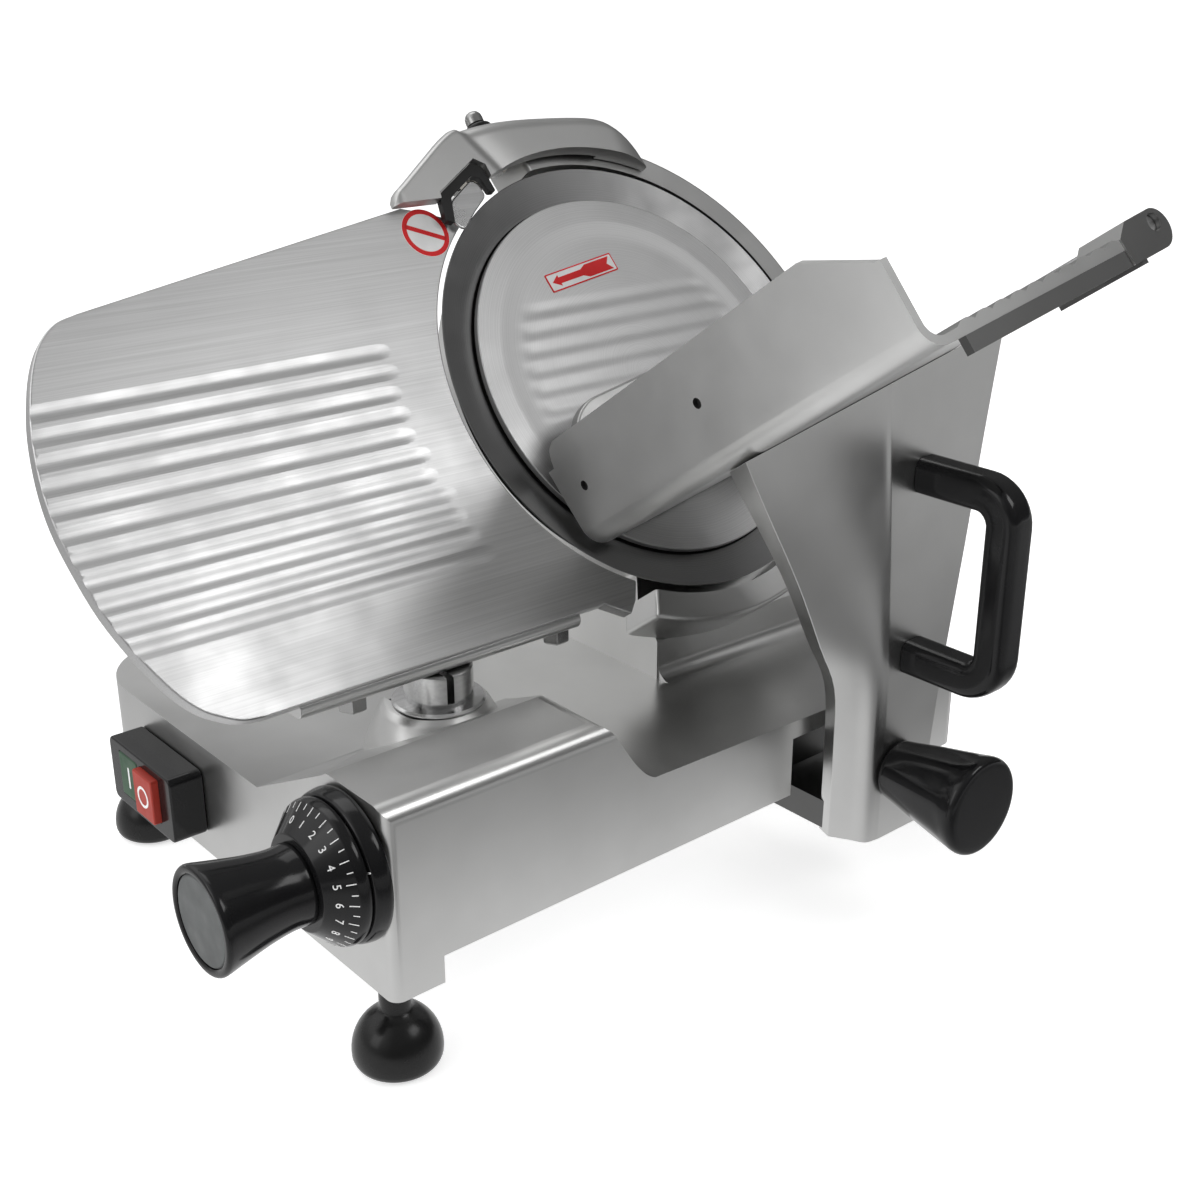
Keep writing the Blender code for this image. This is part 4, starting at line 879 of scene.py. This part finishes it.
# ---- switch ----
def switch_parts():
    out = BASE_X0 - 18.5
    box = prism("fine_switch_box", rounded_rect(166, 55, 234, 91, 4, 8), out, BASE_X0 - GAP, END)
    soften(box, 1.2, 4, 50)
    for y0, y1 in ((202, 223), (179, 200)):
        cut(box, prism("well", rounded_rect(y0, 61.5, y1, 86.5, 1, 3), out - 5, out + 10, END))
    finish_piece(box, "base", "black_plastic", BLACK, "switch_box")
    for name, y0, y1, proud, mat in (("start_button", 202, 223, 0.4, GREEN),
                                     ("stop_button", 179, 200, 4.0, RED)):
        face = out - proud
        outline = rounded_rect(y0 + GAP, 61.5 + GAP, y1 - GAP, 86.5 - GAP, 1.2, 4)
        cap = prism("fine_" + name, outline, face, out + 5, END)
        soften(cap, 0.8, 3, 50)
        finish_piece(cap, name, mat.name.replace("switch_", "") + "_plastic", mat, name)
        middle = (y0 + y1) / 2
        at = axes(Vector((face, middle, 74)), Z, Y)
        if name == "start_button":
            sign = prism("start_sign", rounded_rect(-6, -0.8, 6, 0.8, 0.3, 3), -0.1, 0.12, at)
        else:
            sign = lathe("stop_sign", [(4.4, -0.1), (5.9, -0.1), (5.9, 0.12), (4.4, 0.12)], at, 64)
        finish_piece(sign, name, "black_plastic", WHITE)


# ---- carriage ----
def carriage_section(z, left, left_y, corner, right, back):
    """Closed section with a rounded front left corner."""
    near = CARRIAGE_FACE_Y + 2
    middle = (left * 0.45 + corner * 0.55, left_y * 0.45 + near * 0.55)
    bend = curve([(left, left_y), middle, (corner, near), (corner + 8, CARRIAGE_FACE_Y)], 6)
    return [(right, CARRIAGE_FACE_Y, z), (right, back, z), (left + 3, back, z)] + [(x, y, z) for x, y in bend]


def carriage_solid(name, inset):
    low = 35 + inset
    back = -8 if inset == 0 else -4
    rows = curve([(low, -11, -17, -1, 40), (90, -11, -17, -1, 46), (122, -14, -18, -1, 50),
                  (150, -29, -20, -3, 54), (190, -50, -22, -6, 60), (250, -88, -27, -12, 68),
                  (330, -136, -33, -20, 80)], 4)
    rings = []
    for z, left, left_y, corner, right in rows:
        ring = carriage_section(z, left + inset * 1.2, left_y + inset * 0.4, corner + inset,
                                right - inset, back)
        if inset:
            ring = [(x, max(y, CARRIAGE_FACE_Y + inset), zz) for x, y, zz in ring]
        rings.append(ring)
    return loft(name, rings, WORLD)


def carriage_arm():
    body = carriage_solid("fine_carriage_arm", 0)
    lid = prism("lid", [(-200, -GAP), (FAR, -GAP), (FAR, 300), (-200, 300)], -60, FAR, TRAY)
    beside = [(TRAY_FLOOR - 1, -6), (FAR, -6), (FAR, 300), (TRAY_FLOOR - 1, 300)]
    cut(body, lid, prism("beside_tray", beside, -60, FAR, TRAY))
    soften(body, 2.5, 4, 32)
    pocket = carriage_solid("pocket", 6.4)
    cut(pocket,
        prism("keep", [(-200, -7.3), (FAR, -7.3), (FAR, 300), (-200, 300)], -60, FAR, TRAY),
        prism("keep_side", [(TRAY_FLOOR - 8, -13), (FAR, -13), (FAR, 300), (TRAY_FLOOR - 8, 300)],
              -60, FAR, TRAY),
        block("floor", (-100, -60, 0), (100, 20, 58)))
    cut(body, pocket)
    join(body, block("hook", (-9, -20, 37), (34, 46, 53)))
    cut(body, cylinder("stud_hole", 5 + GAP, 20, 40, axes(Vector((KNOB_X, 0, KNOB_Z)), X, Z)))
    for z in (HANDLE_TOP, HANDLE_LOW):
        cut(body, cylinder("bolt_hole", 3.3, 20, 45, axes(Vector((HANDLE_X, 0, z)), X, Z)))
    finish_piece(body, "carriage", "cast_aluminium", CAST, "carriage_arm", angle=26)
    # Painted shade: the hook and the low back part of the arm, under the base, get the near-black cast
    # finish.
    second_finish(body, CAST_PAINTED_SHADE, WORLD, lambda at: at.y > -8.5 and at.z < 58)


def carriage_knob():
    at = axes(Vector((KNOB_X, CARRIAGE_FACE_Y - GAP, KNOB_Z)), X, Z)
    side = curve([(13, 0), (15.5, 1.5), (17, 8), (21, 26), (24.6, 44), (26, 51), (25.6, 54), (24, 55.6),
                  (21, 56)], 5)
    knob = lathe("fine_carriage_knob", [(0, 0)] + side + [(0, 56)], at, 144,
                 lambda a, r, w: 1 + (0.012 * math.cos(9 * a) if 3 < w < 46 else 0))
    cut(knob, cylinder("bore", 5 + GAP, -5, 18, at))
    finish_piece(knob, "carriage_knob", "black_plastic", BLACK, "carriage_knob")


def carriage_handle():
    """U grip standing off the casting; section is a rounded square."""
    front = CARRIAGE_FACE_Y - GAP
    bend = 15.0
    far = CARRIAGE_FACE_Y - 5 - HANDLE_REACH
    top = [(far + bend + bend * math.cos(a), HANDLE_TOP - bend + bend * math.sin(a))
           for a in [math.radians(90 + 9 * k) for k in range(11)]]
    low = [(far + bend + bend * math.cos(a), HANDLE_LOW + bend + bend * math.sin(a))
           for a in [math.radians(180 + 9 * k) for k in range(11)]]
    path = [(front, HANDLE_TOP), (front - 12, HANDLE_TOP)] + top + [(far, 185)]
    path += low + [(front - 12, HANDLE_LOW), (front, HANDLE_LOW)]
    rings = []
    for k, (y, z) in enumerate(path):
        before = Vector(path[max(k - 1, 0)])
        after = Vector(path[min(k + 1, len(path) - 1)])
        along = (after - before).normalized()
        side = Vector((-along.y, along.x))
        ring = []
        for a in range(40):
            c = math.cos(math.radians(9 * a))
            s = math.sin(math.radians(9 * a))
            reach = HANDLE_HALF * (abs(c) ** 4 + abs(s) ** 4) ** -0.25
            ring.append((HANDLE_X + reach * c, y + side.x * reach * s, z + side.y * reach * s))
        rings.append(ring)
    finish_piece(loft("fine_carriage_handle", rings, WORLD), "carriage", "black_plastic", BLACK,
                 "carriage_handle", angle=40)


# ---- tray and pusher ----
def tray_profile():
    """V trough seen along the tray axis: (across, up)."""
    bend = 12
    outer = [(TRAY_FLOOR, 0), (bend, 0)] + arc(bend, bend, bend, 262, 188, 20)
    outer += [(0, bend + 2), (0, WALL_HEIGHT)]
    inner = [(4, WALL_HEIGHT), (4, bend + 3)] + arc(bend, bend, bend - 4, 188, 262, 16)
    ridges = []
    pitch = 11.4
    for start in [20 + pitch * k for k in range(10)]:
        for t in steps_between(0, 11 / 12, 12):
            ridges.append((start + pitch * t, 4.2 + 2.0 * math.sin(math.pi * t) ** 0.8))
    return outer + inner + ridges + [(TRAY_FLOOR, 4.2)]


def tray():
    body = prism("fine_tray", tray_profile(), -40, TRAY_LENGTH, TRAY)
    cut(body, prism("near", [(-FAR, -FAR), (FAR, -FAR), (FAR, FAR), (-FAR, FAR)], -FAR, 3, BLADE))
    side = inside(TRAY, Vector(), Z, Y)
    far_corner = [(TRAY_LENGTH - 39, WALL_HEIGHT + 8), (TRAY_LENGTH - 39, WALL_HEIGHT + 0.2)]
    far_corner += [(TRAY_LENGTH - 2.5, 40), (TRAY_LENGTH + 8, 40), (TRAY_LENGTH + 8, WALL_HEIGHT + 8)]
    near_corner = [(-10, WALL_HEIGHT + 8), (-10, WALL_HEIGHT - 12), (4, WALL_HEIGHT - 12)]
    near_corner += curve([(5, WALL_HEIGHT - 8), (8, WALL_HEIGHT - 3), (14, WALL_HEIGHT)], 5)
    near_corner += [(14, WALL_HEIGHT + 8)]
    cut(body, prism("far_corner", far_corner, -10, 10, side),
        prism("near_corner", near_corner, -10, 10, side))
    lip = [(22, -7.5), (TRAY_FLOOR - 1, -7.5), (TRAY_FLOOR - 1, 1), (22, 1)]
    rail = [(TRAY_FLOOR - 4.5, -9.3), (TRAY_FLOOR - 0.4, -9.3),
            (TRAY_FLOOR - 0.4, 1.5), (TRAY_FLOOR - 4.5, 1.5)]
    join(body, prism("lip", lip, TRAY_LENGTH - 4.5, TRAY_LENGTH - 0.4, TRAY),
         prism("rail", rail, TRAY_LENGTH - 50, TRAY_LENGTH - 2, TRAY))
    for w0, w1 in ((TRAY_LENGTH - 25, TRAY_LENGTH + 0.6), (7, 23)):
        lug = [(TRAY_FLOOR - 13, -7.5)] + arc(PUSHER_ROD_W, PUSHER_ROD_M - 3, BOSS_R, -90, 90, 24)
        lug += [(TRAY_FLOOR - 6, PUSHER_ROD_M + 6), (TRAY_FLOOR - 14, 5)]
        join(body, prism("lug", lug, w0, w1, TRAY))
    cut(body, cylinder("rod_hole", PUSHER_ROD_R + GAP, 0, 300, PUSHER))
    holes = ((126, 33), (20, 30))
    for w, m in holes:
        cut(body, cylinder("wall_hole", 2.6, -5, 2.4, inside(TRAY, Vector((0, m, w)), Y, Z), 40))
    soften(body, 0.9, 3, 40)
    finish_piece(body, "carriage", "cast_aluminium", TRAY_METAL, "tray", angle=26)
    end = TRAY_LENGTH + 0.3
    # Painted shade: the far end face and the upper floor of the tray get the darker grey cast finish.
    second_finish(body, CAST_GREY, TRAY, lambda at: at.z > end - 0.6 or (at.y > 1.5 and at.x > 14))
    # Painted shade: the lug end, the underside near the far end and the bottoms of the wall holes get the
    # near-black cast finish.
    second_finish(body, CAST_PAINTED_SHADE, TRAY, lambda at: at.z > end or (at.z > end - 52 and at.y < -1)
                  or (0.9 < at.x < 3 and any(math.hypot(at.z - w, at.y - m) < 2.7 for w, m in holes)))


def pusher_parts():
    ring = lathe("fine_pusher_arm", [(6.5 + GAP, 48), (9.5, 48), (9.5, 74), (6.5 + GAP, 74)], PUSHER, 96)
    reach = [(PUSHER_ROD_W - 5, PUSHER_ROD_M + 7.5), (PUSHER_ROD_W + 4, PUSHER_ROD_M + 8),
             (PUSHER_ROD_W - 2, 34),
             (PUSHER_ROD_W - 20, 46), (84, 46), (84, 34), (PUSHER_ROD_W - 26, 33), (PUSHER_ROD_W - 12, 24)]
    arm = prism("reach", rounded(reach, 8), 54, 68, TRAY)
    soften(arm, 1.5, 3, 50)
    stem = prism("stem", rounded([(84, 34), (98, 34), (98, 46), (84, 46)], 3), 22 + GAP, 56, TRAY)
    join(ring, arm, stem)
    finish_piece(ring, "pusher", "cast_aluminium", CAST, "pusher_arm")
    plate = prism("fine_pusher_plate", rounded_rect(8, 10, 140, 68, (6, 6, 18, 24), 14), 14, 22, TRAY)
    soften(plate, 1.5, 4, 50)
    for row in range(4):
        low = 18 + 11 * row
        cut(plate, block("groove", (14, low, 10), (134, low + 5, 16), TRAY))
    finish_piece(plate, "pusher", "cast_aluminium", CAST_GREY, "pusher_plate")
    at = inside(TRAY, Vector((104, 40, 68 + GAP)), X, Y)
    grip = [(0, 0)]
    grip += curve([(6, 0), (8, 3), (10, 16), (13, 34), (13, 40), (10, 45), (4, 46.8)], 5) + [(0, 47)]
    turned_piece("pusher_grip", grip, at, 96, "pusher", "black_plastic", BLACK)


# ---- labels ----
def labels():
    """A plain prohibition ring on the gauge plate and a plain turning arrow on the blade cover."""
    at = inside(BLADE, Vector((-103.5, 97.4, 0.0)), X, Y)
    field = lathe("sticker_field", [(0, -0.1), (13.7, -0.1), (13.7, 0.14), (0, 0.14)], at, 96)
    ring = lathe("sticker_ring", [(10.9, 0.1), (13.5, 0.1), (13.5, 0.22), (10.9, 0.22)], at, 96)
    bar = prism("sticker_bar", [(-11.2, 3.6), (-10.2, 6.0), (11.2, -3.6), (10.2, -6.0)], 0.1, 0.22, at)
    finish_piece(field, "gauge", "black_plastic", WHITE)
    finish_piece(merge("sticker_mark", [ring, bar]), "gauge", "red_plastic", LABEL_RED)
    at = inside(BLADE, Vector((-15.5, 62.5, -0.55)), X, Y) @ Matrix.Rotation(math.radians(8.5), 4, "Z")
    plate = prism("arrow_field", rounded_rect(-24.5, -4.6, 24.5, 4.6, 0.6, 4), -0.1, 0.34, at)
    border = prism("arrow_border", rounded_rect(-25.3, -5.4, 25.3, 5.4, 0.8, 4), -0.1, 0.3, at)
    upper = [(-22.5, 0), (-17, 3.3), (-17, 1.8), (0, 1.9), (4, 3.8), (22.8, 3.8)]
    head = upper + [(19.5, 0)] + [(x, -y) for x, y in reversed(upper[1:])]
    arrow = prism("arrow", head, 0.3, 0.4, at)
    finish_piece(plate, "base", "black_plastic", WHITE)
    finish_piece(merge("arrow_mark", [border, arrow]), "base", "red_plastic", LABEL_RED)


# ---- carried-over nodes ----
def finish_nodes():
    slots = {entry["node"]: entry["material_slot"] for entry in frame["record"]["subparts"]}
    for name, obj in frame["nodes"].items():
        obj.data.materials.clear()
        obj.data.materials.append(SLOT_FINISH[slots[name]])


# ---- stage ----
CAMERA_AT = Vector((-578.4, -495.0, 469.0))
CAMERA_FORWARD = Vector((0.6021, 0.7032, -0.3783)).normalized()
CAMERA_LENS = 47.88
LIT_POINT = Vector((-0.05, 0.12, 0.15))       # from the datum, metres
BRIGHT_SIDE = (-0.64, 0.77, 0)                # the surroundings are brightest behind on the left
SKY_GREYS = ((0.0, 0.4), (0.04, 0.14), (0.25, 0.18), (0.6, 0.5), (1.0, 0.75))     # horizon to zenith
CARD_RUN = (0.1, -0.49, 0)                    # the card's greys run from behind (0) to the front (1)
CARD_GREYS = ((0.0, 0.4), (0.3, 0.6), (0.53, 0.9), (0.6, 0.72), (0.65, 0.3), (0.7, 0.14), (0.76, 0.4),
              (1.0, 0.5))


def camera():
    right = CAMERA_FORWARD.cross(Z).normalized()
    up = right.cross(CAMERA_FORWARD)
    data = bpy.data.cameras.new("camera")
    data.lens = CAMERA_LENS
    data.sensor_width = 36
    data.clip_end = 200
    obj = new_object("camera", data)
    turn = Matrix((right, up, -CAMERA_FORWARD)).transposed().to_4x4()
    obj.matrix_world = Matrix.Translation(DATUM + CAMERA_AT * MM) @ turn
    bpy.context.scene.camera = obj


def softbox(name, direction, distance, size, energy):
    data = bpy.data.lights.new(name, "AREA")
    data.shape = "RECTANGLE"
    data.size, data.size_y = size
    data.energy = energy
    obj = new_object(name, data)
    away = Vector(direction).normalized()
    obj.location = DATUM + LIT_POINT + away * distance
    obj.rotation_euler = (-away).to_track_quat("-Z", "Y").to_euler()


def fill_ramp(ramp, stops):
    """Grey values along a colour ramp; the first and last stop lie at 0 and 1."""
    elements = ramp.color_ramp.elements
    for position, value in stops[1:-1]:
        elements.new(position).color = (value, value, value, 1)
    for element, stop in ((elements[0], stops[0]), (elements[-1], stops[-1])):
        element.color = (*(stop[1],) * 3, 1)


def world_light():
    """Soft studio surroundings: bright overhead and behind on the left, dim near the horizon."""
    world = bpy.data.worlds.new("studio")
    bpy.context.scene.world = world
    world.use_nodes = True
    tree = world.node_tree
    background = tree.nodes["Background"]
    place = add_node(tree, "TexCoord")
    split = add_node(tree, "SeparateXYZ")
    ramp = add_node(tree, "ValToRGB")
    fill_ramp(ramp, SKY_GREYS)
    tree.links.new(place.outputs["Generated"], split.inputs["Vector"])
    tree.links.new(split.outputs["Z"], ramp.inputs["Fac"])
    side = vector_math(tree, "DOT_PRODUCT", place.outputs["Generated"], BRIGHT_SIDE)
    lift = add_node(tree, "MapRange", From_Min=0.0, From_Max=0.9, To_Min=0.55, To_Max=3.2)
    tree.links.new(side.outputs["Value"], lift.inputs["Value"])
    tree.links.new(ramp.outputs["Color"], background.inputs["Color"])
    tree.links.new(lift.outputs["Result"], background.inputs["Strength"])


def floor():
    obj = square("floor", 40.0)
    obj.location.z = -0.0004
    mat = new_material("floor_paper", (0.93, 0.93, 0.93), 0.0, 0.8, Emission_Color=(1, 1, 1, 1),
                       Emission_Strength=0.62)
    obj.data.materials.append(mat)


def bounce_card():
    """Seen only in reflections: pale ground behind and below the machine, a dim band before it."""
    obj = square("bounce_card", 6.0)
    obj.location = DATUM + Vector((-0.08, 0.12, 0.001))
    obj.visible_camera = False
    obj.visible_diffuse = False
    obj.visible_shadow = False
    mat = new_material("bounce", (0, 0, 0), 0.0, 1.0, Emission_Strength=1.0)
    tree = mat.node_tree
    place = add_node(tree, "TexCoord")
    forward = vector_math(tree, "DOT_PRODUCT", place.outputs["Object"], CARD_RUN)
    shift = add_node(tree, "Math")
    shift.operation = "ADD"
    shift.inputs[1].default_value = 0.5
    ramp = add_node(tree, "ValToRGB")
    fill_ramp(ramp, CARD_GREYS)
    tree.links.new(forward.outputs["Value"], shift.inputs[0])
    tree.links.new(shift.outputs["Value"], ramp.inputs["Fac"])
    tree.links.new(ramp.outputs["Color"], tree.nodes["Principled BSDF"].inputs["Emission Color"])
    obj.data.materials.append(mat)


def stage():
    camera()
    world_light()
    floor()
    bounce_card()
    softbox("key", (0.36, -0.66, 0.68), 2.2, (0.9, 0.7), 8)
    softbox("left", (-1.0, 0.1, 0.5), 2.4, (1.0, 1.4), 5)
    softbox("top", (0.1, 0.5, 1.2), 2.4, (1.6, 1.2), 8)
    bpy.context.scene.view_settings.view_transform = "Standard"


# ---- everything ----
finish_nodes()
base_casting()
feet()
blade_housing()
blade()
blade_cover()
cover_knob()
sharpener_cover()
grind_pin()
gauge_plate()
gauge_bar()
gauge_column()
dial_parts()
switch_parts()
carriage_arm()
carriage_knob()
carriage_handle()
tray()
pusher_parts()
labels()
stage()
